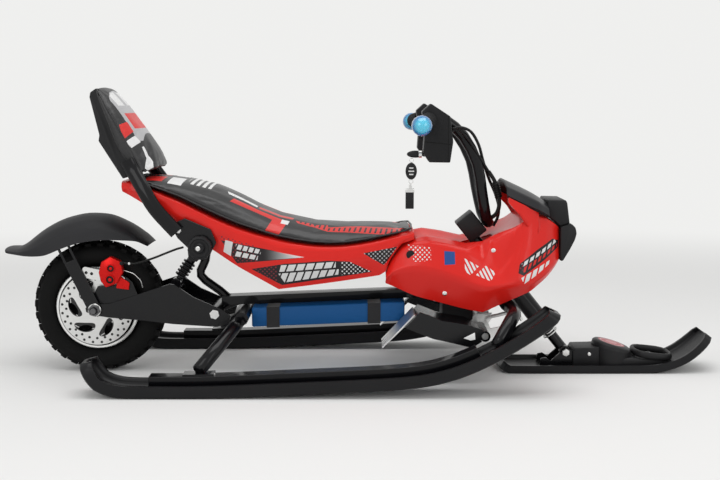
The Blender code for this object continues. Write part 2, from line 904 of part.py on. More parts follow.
def seat_cushion():
    """The long padded seat, a closed form that swells above the base's seam."""
    sections = []
    for u, top, wide in cushion_shares:
        x = seat_rear_x + u * seat_length
        low_z = seat_base_z + seam_at(u) * seat_height + 2 * seat_wall + cushion_gap
        top_z = seat_base_z + top * seat_height
        half = seat_half_width * wide
        profile = (
            (-0.86, 0.00), (-1.00, 0.14), (-1.00, 0.36), (-0.90, 0.66), (-0.66, 0.88),
            (-0.34, 0.98), (0.00, 1.00), (0.34, 0.98), (0.66, 0.88), (0.90, 0.66), (1.00, 0.36),
            (1.00, 0.14), (0.86, 0.00),
        )
        sections.append([(x, half * y, low_z + h * (top_z - low_z)) for y, h in profile])
    return add_object(
        "seat_cushion", to_mesh("seat_cushion", loft(sections)), black_plastic("seat_cushion"), 60
    )


# Along the saddle: crown height and width. The base's own stations are among them
cushion_shares = (
    (0.028, 0.970, 0.60), (0.045, 1.000, 0.80), (0.100, 1.002, 0.94), (0.190, 0.975, 0.99),
    (0.240, 0.945, 1.00), (0.300, 0.905, 1.00), (0.385, 0.800, 0.98), (0.450, 0.710, 0.97),
    (0.520, 0.635, 0.95), (0.640, 0.565, 0.92), (0.750, 0.548, 0.90), (0.860, 0.548, 0.86),
    (0.880, 0.548, 0.85), (0.920, 0.547, 0.82), (0.965, 0.562, 0.64),
)


def seat_pan():
    """The black pan under the saddle, whose front and rear lugs rest on the post's cross bar."""
    rows = []
    for u, low, wide in seat_pan_shares:
        x = seat_rear_x + u * seat_length
        low_z = seat_base_z + low * seat_height
        high_z = seat_base_z + seam_at(u) * seat_height - 2 * seat_gap
        half = seat_half_width * wide
        rows.append([(x, -half, low_z), (x, half, low_z), (x, half, high_z), (x, -half, high_z)])
    return add_object("seat_pan", to_mesh("seat_pan", loft(rows)), black_plastic("seat_pan"))


# Along the pan: underside and width
seat_pan_shares = (
    (0.030, 0.825, 0.70), (0.100, 0.730, 0.74), (0.190, 0.570, 0.76), (0.300, 0.400, 0.76),
    (0.385, 0.300, 0.76), (0.520, 0.120, 0.74), (0.640, 0.110, 0.72), (0.750, 0.150, 0.70),
    (0.800, 0.165, 0.70),
)


# The seam between the backrest's shell and pad, from the top down
backrest_seam_shares = ((0.130, 0.975), (0.145, 0.905), (0.285, 0.605), (0.425, 0.310), (0.590, 0.140))


def backrest_seam(forward):
    points = place(
        backrest_seam_shares, (backrest_base_x, backrest_base_z), (backrest_depth, backrest_height)
    )
    return [(x + forward, z) for x, z in points]


def backrest_shell():
    """The moulded rear half of the backrest, with a step above its lower bracket."""
    shares = (
        (0.560, 0.040), (0.430, 0.000), (0.125, 0.395), (0.135, 0.455), (0.000, 0.865),
        (0.020, 0.920),
    )
    outline = backrest_seam(-seat_gap)
    outline += place(shares, (backrest_base_x, backrest_base_z), (backrest_depth, backrest_height))
    half = backrest_half_width
    bm = prism(outline, -half, half, half * 0.02)
    return add_object("backrest_shell", to_mesh("backrest_shell", bm), black_plastic("shell"))


def backrest_pad():
    """The padded front of the backrest."""
    shares = (
        (0.960, 0.120), (0.985, 0.170), (0.925, 0.285), (0.795, 0.440), (0.620, 0.630),
        (0.430, 0.825), (0.275, 0.955), (0.185, 0.992),
    )
    outline = backrest_seam(seat_gap)
    seam = [Vector((x, 0, z)) for x, z in (outline[-1], outline[1])]
    outline += place(shares, (backrest_base_x, backrest_base_z), (backrest_depth, backrest_height))
    lean = (seam[1] - seam[0]).normalized()
    front = Vector((lean.z, 0, -lean.x))
    sections = []
    fullness_shares = (
        (-1.0, 0.30), (-0.97, 0.52), (-0.88, 0.74), (-0.60, 0.93), (0.0, 1.0), (0.60, 0.93),
        (0.88, 0.74), (0.97, 0.52), (1.0, 0.30),
    )
    for across, full in fullness_shares:
        section = []
        for i, (x, z) in enumerate(outline):
            spot = Vector((x, 0, z))
            out = (spot - seam[0]).dot(front)
            if i >= len(backrest_seam_shares) and out > 0:
                spot -= front * out * (1 - full)
            section.append((spot.x, across * backrest_half_width, spot.z))
        sections.append(section)
    return add_object("backrest_pad", to_mesh("backrest_pad", loft(sections)), black_plastic("pad"), 60)


def backrest_arm(name, side):
    """A flattened tube from the saddle bracket up to the backrest's side, drawn in at its top."""
    start = bracket_corner()
    low_y = bracket_outer_y + seat_gap + backrest_arm_thin
    high_y = backrest_half_width + seat_gap + running_gap + backrest_arm_thin
    # Reach, height and drawing in, each from the arm's foot to its head
    arm_shares = (
        (0.00, 0.00, 0.0), (0.42, 0.33, 0.0), (0.68, 0.62, 0.35), (0.90, 0.86, 1.0),
        (1.00, 1.00, 1.0),
    )
    top = Vector(
        (backrest_base_x + 0.60 * backrest_depth, 0, backrest_base_z + 0.235 * backrest_height)
    )
    points = []
    for u, w, inward in arm_shares:
        y = low_y + (high_y - low_y) * inward
        points.append((start.x + u * (top.x - start.x), side * y, start.z + w * (top.z - start.z)))
    shape = sweep(smooth(points, 4), backrest_arm_wide, backrest_arm_thin, 12)
    return add_object(name, to_mesh(name, shape), black_paint(name))


def bracket_corner():
    return Vector((seat_rear_x + 0.190 * seat_length, 0, seat_base_z + 0.535 * seat_height))


def saddle_bracket(name, side):
    """The side plate that joins the post's cross bar, the backrest arm and the saddle."""
    shares = (
        (0.165, 0.600), (0.215, 0.655), (0.300, 0.560), (0.318, 0.440), (0.295, 0.330),
        (0.240, 0.350), (0.190, 0.480),
    )
    outline = place(shares, (seat_rear_x, seat_base_z), (seat_length, seat_height))
    low = bar_half + seat_gap
    bounds = sorted((side * low, side * (low + arm_plate)))
    bm = prism(outline, bounds[0], bounds[1])
    return add_object(name, to_mesh(name, bm), black_paint(name))


def saddle_knob(name, side):
    """The five-lobed clamping knob on the bracket."""
    centre = Vector((seat_rear_x + 0.262 * seat_length, 0, seat_base_z + 0.400 * seat_height))
    radius = knob_radius
    lobes = 5
    outline = []
    for k in range(lobes * 6):
        turn = 2 * math.pi * k / (lobes * 6)
        reach = radius * (0.88 + 0.12 * math.cos(lobes * turn))
        outline.append((centre.x + reach * math.cos(turn), centre.z + reach * math.sin(turn)))
    low = bracket_outer_y + seat_gap
    bounds = sorted((side * low, side * (low + knob_depth)))
    bm = prism(outline, bounds[0], bounds[1])
    return add_object(name, to_mesh(name, bm), black_plastic(name))


def front_cowl():
    """The hollow front cowl: two creased sides, a dished deck between them and a closed nose."""
    rows = []
    for u, low, crease_low, crease_high, deck, middle, wide, deck_wide in cowl_shares:
        x = cowl_rear_x + u * cowl_length
        half = cowl_half_width * wide
        z = [
            cowl_base_z + share * cowl_height for share in (low, crease_low, crease_high, deck, middle)
        ]
        right = [
            (x, -half * 0.86, z[0]), (x, -half, z[1]), (x, -half * 0.92, (z[1] + z[2]) / 2),
            (x, -half * 0.84, z[2]), (x, -half * deck_wide, z[3]),
            (x, -half * deck_wide * 0.5, (z[3] + 2 * z[4]) / 3), (x, 0, z[4]),
        ]
        rows.append(right + mirrored(right[-2::-1], -1))
    bm = loft(rows, ring=False, caps=False)
    front = [vert for vert in bm.verts if vert.co.x > cowl_rear_x + cowl_length * 0.995]
    edges = [edge for edge in bm.edges if all(vert in front for vert in edge.verts)]
    bmesh.ops.contextual_create(bm, geom=edges)
    shell = thicken(bm, cowl_wall)
    for side in (-1, 1):
        shell = boolean(shell, cowl_horn(side), "UNION")
    neck = tube([on_axis(cowl_hole_low), on_axis(cowl_hole_high)], cowl_hole_radius, 20)
    return add_object("front_cowl", cut(shell, [neck]), red_plastic("front_cowl"))


def cowl_horn(side):
    """The prong that runs back from the cowl's shoulder beside the windshield."""
    sections = []
    for u, low, across in horn_shares:
        x = cowl_rear_x + u * cowl_length
        high = visor_edge_at(u) - horn_drop / cowl_height
        outer = side * cowl_half_width * across
        inner = outer - side * 3 * cowl_wall
        low_z = cowl_base_z + low * cowl_height
        high_z = cowl_base_z + high * cowl_height
        sections.append(
            [(x, outer, low_z), (x, outer * 0.985, high_z), (x, inner, high_z), (x, inner, low_z)]
        )
    return loft(sections)


# Along the cowl: lower edge, two creases, deck edge, middle, width and deck width
cowl_shares = (
    (0.000, 0.248, 0.290, 0.330, 0.341, 0.306, 0.780, 0.72),
    (0.017, 0.238, 0.325, 0.395, 0.422, 0.372, 0.785, 0.72),
    (0.045, 0.222, 0.362, 0.460, 0.497, 0.428, 0.800, 0.70),
    (0.091, 0.192, 0.390, 0.540, 0.582, 0.508, 0.820, 0.67),
    (0.159, 0.146, 0.412, 0.602, 0.635, 0.560, 0.860, 0.62),
    (0.225, 0.122, 0.410, 0.618, 0.655, 0.600, 0.900, 0.58),
    (0.340, 0.082, 0.362, 0.600, 0.632, 0.570, 0.960, 0.54),
    (0.450, 0.038, 0.293, 0.549, 0.592, 0.542, 1.000, 0.54),
    (0.545, 0.014, 0.240, 0.452, 0.608, 0.556, 1.000, 0.58),
    (0.595, 0.046, 0.246, 0.398, 0.655, 0.586, 0.995, 0.66),
    (0.640, 0.078, 0.252, 0.392, 0.690, 0.636, 0.980, 0.70),
    (0.730, 0.130, 0.255, 0.526, 0.738, 0.728, 0.930, 0.78),
    (0.775, 0.158, 0.255, 0.652, 0.790, 0.800, 0.890, 0.79),
    (0.820, 0.184, 0.262, 0.745, 0.850, 0.870, 0.840, 0.81),
    (0.910, 0.282, 0.330, 0.750, 0.800, 0.820, 0.680, 0.83),
    (0.970, 0.365, 0.400, 0.722, 0.745, 0.760, 0.500, 0.85),
    (1.000, 0.425, 0.445, 0.680, 0.700, 0.710, 0.360, 0.87),
)
# Along a horn: lower edge and distance from the centre plane
horn_shares = (
    (0.685, 0.950, 0.705), (0.705, 0.910, 0.728), (0.745, 0.850, 0.738), (0.780, 0.762, 0.734),
    (0.860, 0.690, 0.665),
)


def visor_edge_at(u):
    """The height share of the visor's lower edge at a place along the cowl."""
    for first, second in zip(visor_shares, visor_shares[1:]):
        if first[0] <= u <= second[0]:
            return first[2] + (second[2] - first[2]) * (u - first[0]) / (second[0] - first[0])
    return visor_shares[-1][2]


def windshield():
    """The smoked visor over the cowl, from its rear lip down to the lamp."""
    rows = []
    for u, crown, edge, wide in visor_shares:
        x = cowl_rear_x + u * cowl_length
        half = cowl_half_width * wide
        crown_z = cowl_base_z + crown * cowl_height
        edge_z = cowl_base_z + edge * cowl_height
        rows.append(
            [
                (x, -half, edge_z), (x, -half * 0.86, edge_z + (crown_z - edge_z) * 0.55),
                (x, -half * 0.45, edge_z + (crown_z - edge_z) * 0.92), (x, 0, crown_z),
                (x, half * 0.45, edge_z + (crown_z - edge_z) * 0.92),
                (x, half * 0.86, edge_z + (crown_z - edge_z) * 0.55), (x, half, edge_z),
            ]
        )
    mesh = thicken(loft(rows, ring=False, caps=False), cowl_wall)
    return add_object("windshield", mesh, black_plastic("windshield"))


# Along the visor: crown height, edge height and width
visor_shares = (
    (0.680, 1.130, 1.010, 0.72), (0.780, 1.060, 0.935, 0.74), (0.860, 1.000, 0.884, 0.72),
    (0.924, 0.935, 0.828, 0.62),
)


def lamp_housing():
    shares = (
        (0.925, 0.8085), (0.925, 0.955), (1.028, 0.952), (1.038, 0.930), (1.055, 0.7466),
        (1.002, 0.723), (0.970, 0.7635),
    )
    outline = place(shares, (cowl_rear_x, cowl_base_z), (cowl_length, cowl_height))
    bm = prism(outline, -cowl_half_width * 0.38, cowl_half_width * 0.38, cowl_wall * 0.8)
    return add_object("lamp_housing", to_mesh("lamp_housing", bm), black_plastic("lamp"))


def nose_cover():
    shares = (
        (1.0015, 0.7205), (1.063, 0.7480), (1.087, 0.712), (1.094, 0.662), (1.085, 0.606),
        (1.057, 0.519), (1.019, 0.420), (1.005, 0.418), (1.0015, 0.500),
    )
    outline = place(shares, (cowl_rear_x, cowl_base_z), (cowl_length, cowl_height))
    bm = prism(outline, -cowl_half_width * 0.42, cowl_half_width * 0.42, cowl_wall * 0.8)
    return add_object("nose_cover", to_mesh("nose_cover", bm), black_plastic("nose"))


def battery_pack():
    top = battery_top_line()
    outline = [
        top[0], top[1], (top[1][0], top[1][1] - battery_height),
        (top[0][0], top[0][1] - battery_height),
    ]
    bm = prism(outline, -battery_width / 2, battery_width / 2, battery_height * 0.08)
    return add_object(
        "battery_pack", to_mesh("battery_pack", bm),
        material("battery_blue", (0.05, 0.17, 0.45), 0.5),
    )


def battery_top_line():
    half = backbone_height / 2
    ends = (battery_rear_x, battery_rear_x + battery_length)
    return [(x, backbone_at(x) - half - battery_drop) for x in ends]


def battery_strap(name, share):
    """A webbing band round the battery pack."""
    top = battery_top_line()
    middle = battery_rear_x + share * battery_length
    low, high = middle - strap_width / 2, middle + strap_width / 2
    wide = battery_width / 2
    slope = (top[1][1] - top[0][1]) / battery_length

    def band(grow, reach):
        ends = (low - reach, high + reach)
        tops = [top[0][1] + slope * (x - top[0][0]) for x in ends]
        lift = min(grow, battery_drop * 0.5)
        outline = [
            (ends[0], tops[0] + lift), (ends[1], tops[1] + lift),
            (ends[1], tops[1] - battery_height - grow), (ends[0], tops[0] - battery_height - grow),
        ]
        return prism(outline, -wide - grow, wide + grow)

    mesh = cut(to_mesh(name, band(strap_thickness + seat_gap, 0)), [band(seat_gap, overrun)])
    return add_object(name, mesh, black_plastic(name))


def controller_box():
    x = cowl_rear_x + 0.4215 * cowl_length
    top = backbone_at(x) - backbone_height / 2 - seat_gap
    low = (x - controller_length / 2, -controller_width / 2, top - controller_height)
    high = (x + controller_length / 2, controller_width / 2, top - backbone_height * 0.1)
    bm = box(low, high, controller_height * 0.04)
    return add_object("controller_box", to_mesh("controller_box", bm), black_paint("controller"))


def rear_fender():
    """An arched mudguard round the wheel, its tail drawn out and turned up."""
    rows = []
    for turn_deg, crown, edge, wide in fender_shares:
        turn = math.radians(turn_deg)
        row = []
        for k in range(9):
            swing = math.pi * (k / 8 - 0.5)
            reach = fender_radius * (edge + (crown - edge) * math.cos(swing) ** 0.8)
            across = fender_half_width * wide * math.sin(swing)
            row.append((axle_x + reach * math.cos(turn), across, axle_z + reach * math.sin(turn)))
        rows.append(row)
    mesh = thicken(loft(rows, ring=False, caps=False), fender_wall)
    return add_object("rear_fender", mesh, black_plastic("rear_fender"))


# Round the wheel: angle, crown radius, edge radius and width
fender_shares = (
    (50, 0.880, 0.860, 0.62), (58, 0.900, 0.850, 0.84), (68, 0.940, 0.790, 0.96),
    (82, 0.985, 0.745, 1.00), (96, 1.000, 0.725, 1.00), (110, 1.000, 0.720, 1.00),
    (122, 0.998, 0.730, 1.00), (131, 0.998, 0.755, 0.98), (138, 1.005, 0.830, 0.90),
    (143, 1.045, 0.930, 0.80), (147, 1.146, 1.080, 0.72),
)


def fender_stay(name, side):
    """The flat bar from the axle to the fender's skirt, forked at its top."""
    top = axle_centre + Vector((-stay_back, 0, stay_rise))
    line = (top - axle_centre).normalized()
    across = Vector((line.z, 0, -line.x))
    half = stay_width / 2
    low_y = arm_outer_y + seat_gap
    reach = (top - axle_centre).length
    outline = []
    for along, sideways in (
        (-0.10, -0.45), (-0.14, 0.0), (-0.10, 0.45), (0.10, 1.0), (1.32, 1.0), (1.32, 0.62),
        (1.00, 0.62), (1.00, -0.62), (1.32, -0.62), (1.32, -1.0), (0.10, -1.0),
    ):
        spot = axle_centre + line * reach * along + across * half * sideways
        outline.append((spot.x, spot.z))
    bounds = sorted((side * low_y, side * (low_y + stay_thickness)))
    mesh = to_mesh(name, prism(outline, bounds[0], bounds[1]))
    bore = tube(
        [axle_centre + Vector((0, s * (low_y + overrun), 0)) for s in (-1, 1)],
        axle_radius + seat_gap, 12,
    )
    return add_object(name, cut(mesh, [bore]), black_paint(name))


def brake_caliper():
    """The red caliper over the rotor's edge, on a bracket against the swing arm."""
    outer = hub_width / 2 + rotor_offset + rotor_thickness
    low_y = -(outer + 0.020)
    high_y = -(outer + running_gap)
    shares = (
        (0.16, 0.66), (0.26, 0.52), (0.50, 0.62), (0.62, 0.86), (0.58, 1.10), (0.36, 1.22),
        (0.18, 1.10), (0.12, 0.86),
    )
    outline = place(shares, (axle_x, axle_z), (rotor_radius * 1.3, rotor_radius * 1.2))
    shapes = [prism(outline, low_y, high_y, rotor_thickness * 0.6)]
    bracket_shares = ((0.46, 0.50), (0.72, 0.46), (0.74, 0.62), (0.50, 0.80))
    bracket = place(bracket_shares, (axle_x, axle_z), (rotor_radius * 1.3, rotor_radius * 1.2))
    low = -(arm_outer_y + arm_plate)
    shapes.append(prism(bracket, low, -(arm_outer_y + seat_gap)))
    return add_object(
        "brake_caliper", fuse(shapes), material("caliper_red", (0.7, 0.03, 0.03), 0.3, 0.5),
    )


def steering_column():
    """The steerer with its washers below the head tube, and the sleeve that holds the ski."""
    foot = ski_pivot_up
    shapes = [
        tube([on_axis(foot - sleeve_radius / 2), on_axis(stem_low - seat_gap)], steerer_radius, 16),
        revolve(
            [
                (0, 0), (head_tube_radius * 0.8, 0),
                (head_tube_radius * 0.95, head_tube_low * 0.35),
                (head_tube_radius * 0.7, head_tube_low * 0.40),
                (head_tube_radius * 0.95, head_tube_low * 0.5),
                (head_tube_radius * 0.95, head_tube_low * 0.95), (0, head_tube_low * 0.95),
            ],
            on_axis(0), axis_up, 20,
        ),
    ]
    half = ear_gap - running_gap
    shapes.append(tube([ski_pivot + Vector((0, s * half, 0)) for s in (-1, 1)], sleeve_radius, 16))
    mesh = fuse(shapes)
    bore = tube(
        [ski_pivot + Vector((0, s * (half + overrun), 0)) for s in (-1, 1)],
        pivot_bolt_radius + running_gap / 2, 14,
    )
    made = add_object("steering_column", cut(mesh, [bore]), black_paint("column"))
    return hang(made, steering_axis)


def stem_cover():
    """The square stem that clamps the handlebar to the steerer."""
    corners = []
    for up, front in (
        (0, -stem_back), (0, stem_depth - stem_back), (stem_length, stem_depth - stem_back),
        (stem_length, -stem_back),
    ):
        spot = on_axis(stem_low + up, front)
        corners.append((spot.x, spot.z))
    bm = prism(corners, -stem_width / 2, stem_width / 2, stem_width * 0.06)
    made = add_object("stem_cover", to_mesh("stem_cover", bm), black_plastic("stem"))
    return hang(made, steering_axis)


def bar_point(up, ahead, side):
    """A point beside the stem, from shares of the bar's rise and of its half width."""
    return on_axis(stem_low + up * bar_rise, bar_front + ahead * bar_rise, side * bar_end_y)


def bar_path():
    """The handlebar's centre line, from the end of the right grip to that of the left."""
    half = [bar_point(up, ahead, -side) for up, ahead, side in bar_shares]
    inner, outer = grip_line(-1)
    line = (outer - inner).normalized()
    half.append(inner + line * housing_width * 0.7)
    half.append(outer - line * (grip_ball_radius + grip_radius))
    return smooth(half[::-1] + [Vector((p.x, -p.y, p.z)) for p in half[1:]], 2)


def handlebar():
    """One bent tube: two uprights joined at the stem, swept back and out into the grips."""
    made = add_object(
        "handlebar", to_mesh("handlebar", tube(bar_path(), bar_radius, 10)), black_paint("bar"),
    )
    return hang(made, steering_axis)


# From the stem outwards: height, reach and side
bar_shares = (
    (0.04, 0.000, 0.00), (0.045, 0.000, 0.20), (0.11, 0.013, 0.42), (0.30, 0.11, 0.60),
    (0.50, 0.215, 0.70), (0.74, 0.26, 0.80), (0.92, 0.225, 0.90), (1.01, 0.16, 1.00),
)


def bar_end(side):
    up, ahead, _ = bar_shares[-1]
    return bar_point(up, ahead, side)


def grip_line(side):
    inner = bar_end(side)
    outer = Vector((grip_x, side * grip_y, grip_z))
    return inner, outer


def throttle_housing(name, side):
    """The moulded switch block that hangs below the bar, just inboard of the grip."""
    inner = bar_end(side)
    unit = housing_height
    outline = place(housing_shares, (inner.x, inner.z), (unit, unit))
    bounds = sorted((side * (bar_end_y + seat_gap), side * (bar_end_y + housing_width)))
    mesh = to_mesh(name, prism(outline, bounds[0], bounds[1], grip_radius * 0.12))
    near = [point for point in bar_path() if side * point.y > bar_end_y * 0.8]
    mesh = cut(mesh, [tube(near, bar_radius + running_gap + seat_gap, 14)])
    return hang(add_object(name, mesh, black_plastic(name)), steering_axis)


# Round the switch block, from the bar's end, in shares of its height
housing_shares = (
    (-0.20, 0.10), (-0.05, 0.235), (0.28, 0.02), (0.335, -0.41), (0.285, -0.765), (-0.07, -0.760),
    (-0.175, -0.60), (-0.150, -0.25),
)


def grip(name, side):
    """The soft sleeve over the end of the bar."""
    inner, outer = grip_line(side)
    line = (outer - inner).normalized()
    start = inner + line * ((housing_width + seat_gap + grip_radius * 0.35) / abs(line.y))
    length = (outer - line * (grip_ball_radius * 0.9 + seat_gap) - start).length
    bore = bar_radius + running_gap
    depth = length - grip_radius / 2
    profile = [
        (bore, 0), (grip_radius, 0), (grip_radius, length), (0, length), (0, depth), (bore, depth),
    ]
    made = add_object(
        name, to_mesh(name, revolve(profile, start, line, 16, closed=True)), black_plastic(name),
    )
    return hang(made, steering_axis)


def grip_end(name, side):
    """The translucent blue ball that closes the grip."""
    inner, outer = grip_line(side)
    line = (outer - inner).normalized()
    profile = []
    for k in range(9):
        turn = math.pi * (0.04 + 0.96 * k / 8)
        profile.append((grip_ball_radius * math.sin(turn), -grip_ball_radius * math.cos(turn)))
    flat = -grip_ball_radius * 0.9
    profile = [(0, flat)] + [(r, max(a, flat)) for r, a in profile[:-1]] + [(0, grip_ball_radius)]
    bm = revolve(profile, outer, line, 16)
    made = add_object(name, to_mesh(name, bm), material(name + "_blue", (0.05, 0.55, 0.85), 0.15))
    return hang(made, steering_axis)


def ignition_key():
    """The key in its lock on the right housing, with its ring and hanging strap."""
    inner = bar_end(-1)
    unit = housing_height
    lock_y = -(bar_end_y + housing_width / 2)
    face_x = inner.x - 0.157 * unit - seat_gap
    spots = {}
    for label, back, drop, out in key_shares:
        spots[label] = Vector((face_x - back * unit, lock_y - out * unit, inner.z - drop * unit))
    shapes = [
        tube([spots["lock"], spots["head"]], unit * 0.030, 10),
        sweep([spots["head_top"], spots["head_foot"]], unit * 0.135, unit * 0.045, 14),
        tube([spots["head"], spots["emblem"], spots["ring"], spots["cap"]], unit * 0.018, 8),
        sweep([spots["ring_top"], spots["ring_foot"]], unit * 0.075, unit * 0.020, 12),
        sweep([spots["cap"], spots["strap_top"], spots["strap_foot"]], unit * 0.050, unit * 0.030, 10),
    ]
    made = add_object("ignition_key", fuse(shapes), black_plastic("key"))
    return hang(made, steering_axis)


# Down the key, in housing heights: behind the housing, below the bar and outboard
key_shares = (
    ("lock", 0.00, 0.31, 0.00), ("head", 0.14, 0.31, 0.00), ("head_top", 0.14, 0.22, 0.00),
    ("head_foot", 0.14, 0.40, 0.00), ("emblem", 0.24, 0.86, 0.02), ("ring", 0.24, 1.04, 0.03),
    ("ring_top", 0.24, 0.92, 0.02), ("ring_foot", 0.24, 1.12, 0.03), ("cap", 0.25, 1.18, 0.03),
    ("strap_top", 0.25, 1.25, 0.03), ("strap_foot", 0.24, 1.57, 0.04),
)


def control_cable():
    """The brake and throttle leads, in one sleeve, from the right housing down to the stem."""
    points = smooth([bar_point(up, ahead, -side) for up, ahead, side in cable_shares], 4)
    made = add_object(
        "control_cable", to_mesh("control_cable", tube(points, cable_radius, 8)),
        black_plastic("cable"),
    )
    return hang(made, steering_axis)


# Along the leads, from the housing down to the stem: height, reach and side
cable_shares = (
    (0.850, 0.213, 1.128), (0.811, 0.281, 1.093), (0.730, 0.325, 0.930), (0.607, 0.312, 0.767),
    (0.476, 0.263, 0.607), (0.332, 0.219, 0.372), (0.193, 0.188, 0.163), (0.083, 0.146, 0.047),
    (0.017, 0.088, 0.000), (-0.019, 0.013, 0.000),
)


def front_ski():
    shares = (
        (0.000, 0.120), (0.030, 0.030), (0.080, 0.000), (0.300, 0.000), (0.500, 0.000),
        (0.680, 0.000), (0.780, 0.070), (0.860, 0.240), (0.920, 0.470), (0.970, 0.740),
        (1.000, 0.960),
    )
    points = place(shares, (ski_rear_x, 0), (ski_length, ski_rise))
    curve = smooth([(x, 0, z) for x, z in points], 2)
    sections = []
    for i, point in enumerate(curve):
        along = (curve[min(i + 1, len(curve) - 1)] - curve[max(i - 1, 0)]).normalized()
        point.z = max(point.z, 0)
        up = Vector((-along.z, 0, along.x))
        taper = taper_at(i / (len(curve) - 1), 0.16, 0.30)
        sections.append(ski_section(point, up, 0, ski_width, ski_height, ski_floor, ski_rim, taper))
    made = add_object("front_ski", to_mesh("front_ski", loft(sections)), black_plastic("front_ski"))
    return hang(made, ski_axis)


def ski_bracket():
    """The clevis on the ski: a base plate, two ears and the pivot bolt through them."""
    base_z = ski_floor + seat_gap
    plate = ear_thickness
    outer = ear_gap + ear_thickness
    ear_shares = (
        (-1.00, 0.00), (-0.95, 0.55), (-0.75, 0.62), (-0.55, 0.40), (-0.32, 0.75), (0.00, 1.30),
        (0.30, 1.05), (0.45, 0.70), (0.85, 0.70), (0.95, 0.45), (1.00, 0.00),
    )
    rise = ski_pivot_z - base_z
    outline = place(ear_shares, (ski_pivot.x, base_z), (ear_length / 2, rise))
    shapes = [
        box(
            (ski_pivot.x - ear_length / 2, -outer, base_z),
            (ski_pivot.x + ear_length / 2, outer, base_z + plate),
        )
    ]
    for side in (-1, 1):
        bounds = sorted((side * ear_gap, side * outer))
        shapes.append(prism(outline, bounds[0], bounds[1]))
    reach = outer + pivot_bolt_radius
    shapes.append(tube([ski_pivot + Vector((0, s * reach, 0)) for s in (-1, 1)], pivot_bolt_radius, 14))
    made = add_object("ski_bracket", fuse(shapes), black_paint("ski_bracket"))
    return hang(made, ski_axis)


def rope_reel():
    """The round case that the tow strap winds into, flat on the ski, its top leaning forward."""
    centre = Vector((reel_x, 0, ski_floor + seat_gap))
    profile_shares = (
        (0.00, 0.00), (1.00, 0.00), (1.00, 0.78), (0.95, 0.92), (0.84, 0.98), (0.74, 1.00),
        (0.00, 1.00),
    )
    profile = [(u * reel_radius, w * reel_height) for u, w in profile_shares]
    bm = revolve(profile, centre, (0, 0, 1), 28)
    for vert in bm.verts:
        lean = reel_lean * (centre.x - vert.co.x) / reel_radius
        vert.co.z += (vert.co.z - centre.z) * lean
    made = add_object("rope_reel", to_mesh("rope_reel", bm), black_plastic("reel"))
    return hang(made, ski_axis)


def reel_handle():
    """The thick pull handle at the reel's front, a rounded loop that slopes down forward."""
    start_x = reel_x + reel_radius + seat_gap + handle_thin
    half_x, half_y = handle_length / 2, handle_width / 2
    steps = 24
    sides = 10
    bm = bmesh.new()
    loops = []
    for k in range(steps):
        turn = 2 * math.pi * k / steps
        out = Vector((math.cos(turn), math.sin(turn), 0))
        squareness = (abs(out.x) ** 3 + abs(out.y) ** 3) ** (1 / 3)
        share = out.x / squareness
        middle = Vector((start_x + half_x * (1 + share), half_y * out.y / squareness, 0))
        middle.z = ski_floor + handle_low - handle_fall * share
        loop = []
        for m in range(sides):
            lean = 2 * math.pi * m / sides
            rise = Vector((0, 0, handle_tall * math.sin(lean)))
            loop.append(bm.verts.new(middle + out * handle_thin * math.cos(lean) + rise))
        loops.append(loop)
    for first, second in zip(loops, loops[1:] + loops[:1]):
        for m in range(sides):
            n = (m + 1) % sides
            bm.faces.new((first[m], first[n], second[n], second[m]))
    bmesh.ops.recalc_face_normals(bm, faces=bm.faces)
    made = add_object("reel_handle", to_mesh("reel_handle", bm), black_plastic("handle"))
    return hang(made, ski_axis)


def foot_plate(name, side):
    """The foot rest: a folded tread, a side plate with a window and a sleeve on the cross shaft."""
    shaft = shaft_centre()
    low, high = plate_inner_y, plate_inner_y + plate_width
    tread = place(tread_shares, (plate_rear_x, plate_low_z), (plate_length, plate_height))
    upper = [(x, z) for x, z in tread]
    lower = [(x + plate_sheet * 0.3, z - plate_sheet * 1.2) for x, z in tread[::-1]]
    spread = sorted((side * low, side * high))
    shapes = [prism(upper + lower, spread[0], spread[1])]
    flange = place(flange_shares, (plate_rear_x, plate_low_z), (plate_length, plate_height))
    edge = sorted((side * (high - plate_sheet), side * high))
    shapes.append(prism(flange, edge[0], edge[1]))
    shapes.append(tube([shaft + Vector((0, side * y, 0)) for y in (low, high)], sleeve_outer, 14))
    window = place(window_shares, (plate_rear_x, plate_low_z), (plate_length, plate_height))
    bore = [shaft + Vector((0, s * (high + overrun), 0)) for s in (-1, 1)]
    cutters = [
        prism(window, edge[0] - overrun, edge[1] + overrun),
        tube(bore, shaft_radius + seat_gap + running_gap, 14),
    ]
    return add_object(name, cut(fuse(shapes), cutters), black_paint(name))


def shaft_centre():
    return Vector((shaft_x, 0, shaft_z))


# In shares of the foot rest's length and height
tread_shares = ((0.020, 0.594), (0.180, 0.955), (0.447, 0.720), (0.762, 0.610), (0.960, 0.400))
flange_shares = (
    (0.180, 0.976), (0.277, 0.908), (0.447, 0.743), (0.762, 0.634), (0.945, 0.496),
    (0.910, 0.304), (0.935, 0.166), (0.815, 0.001), (0.510, 0.166), (0.340, 0.249),
    (-0.000, 0.551),
)
window_shares = (
    (0.704, 0.263), (0.848, 0.428), (0.856, 0.221), (0.801, 0.194),
)


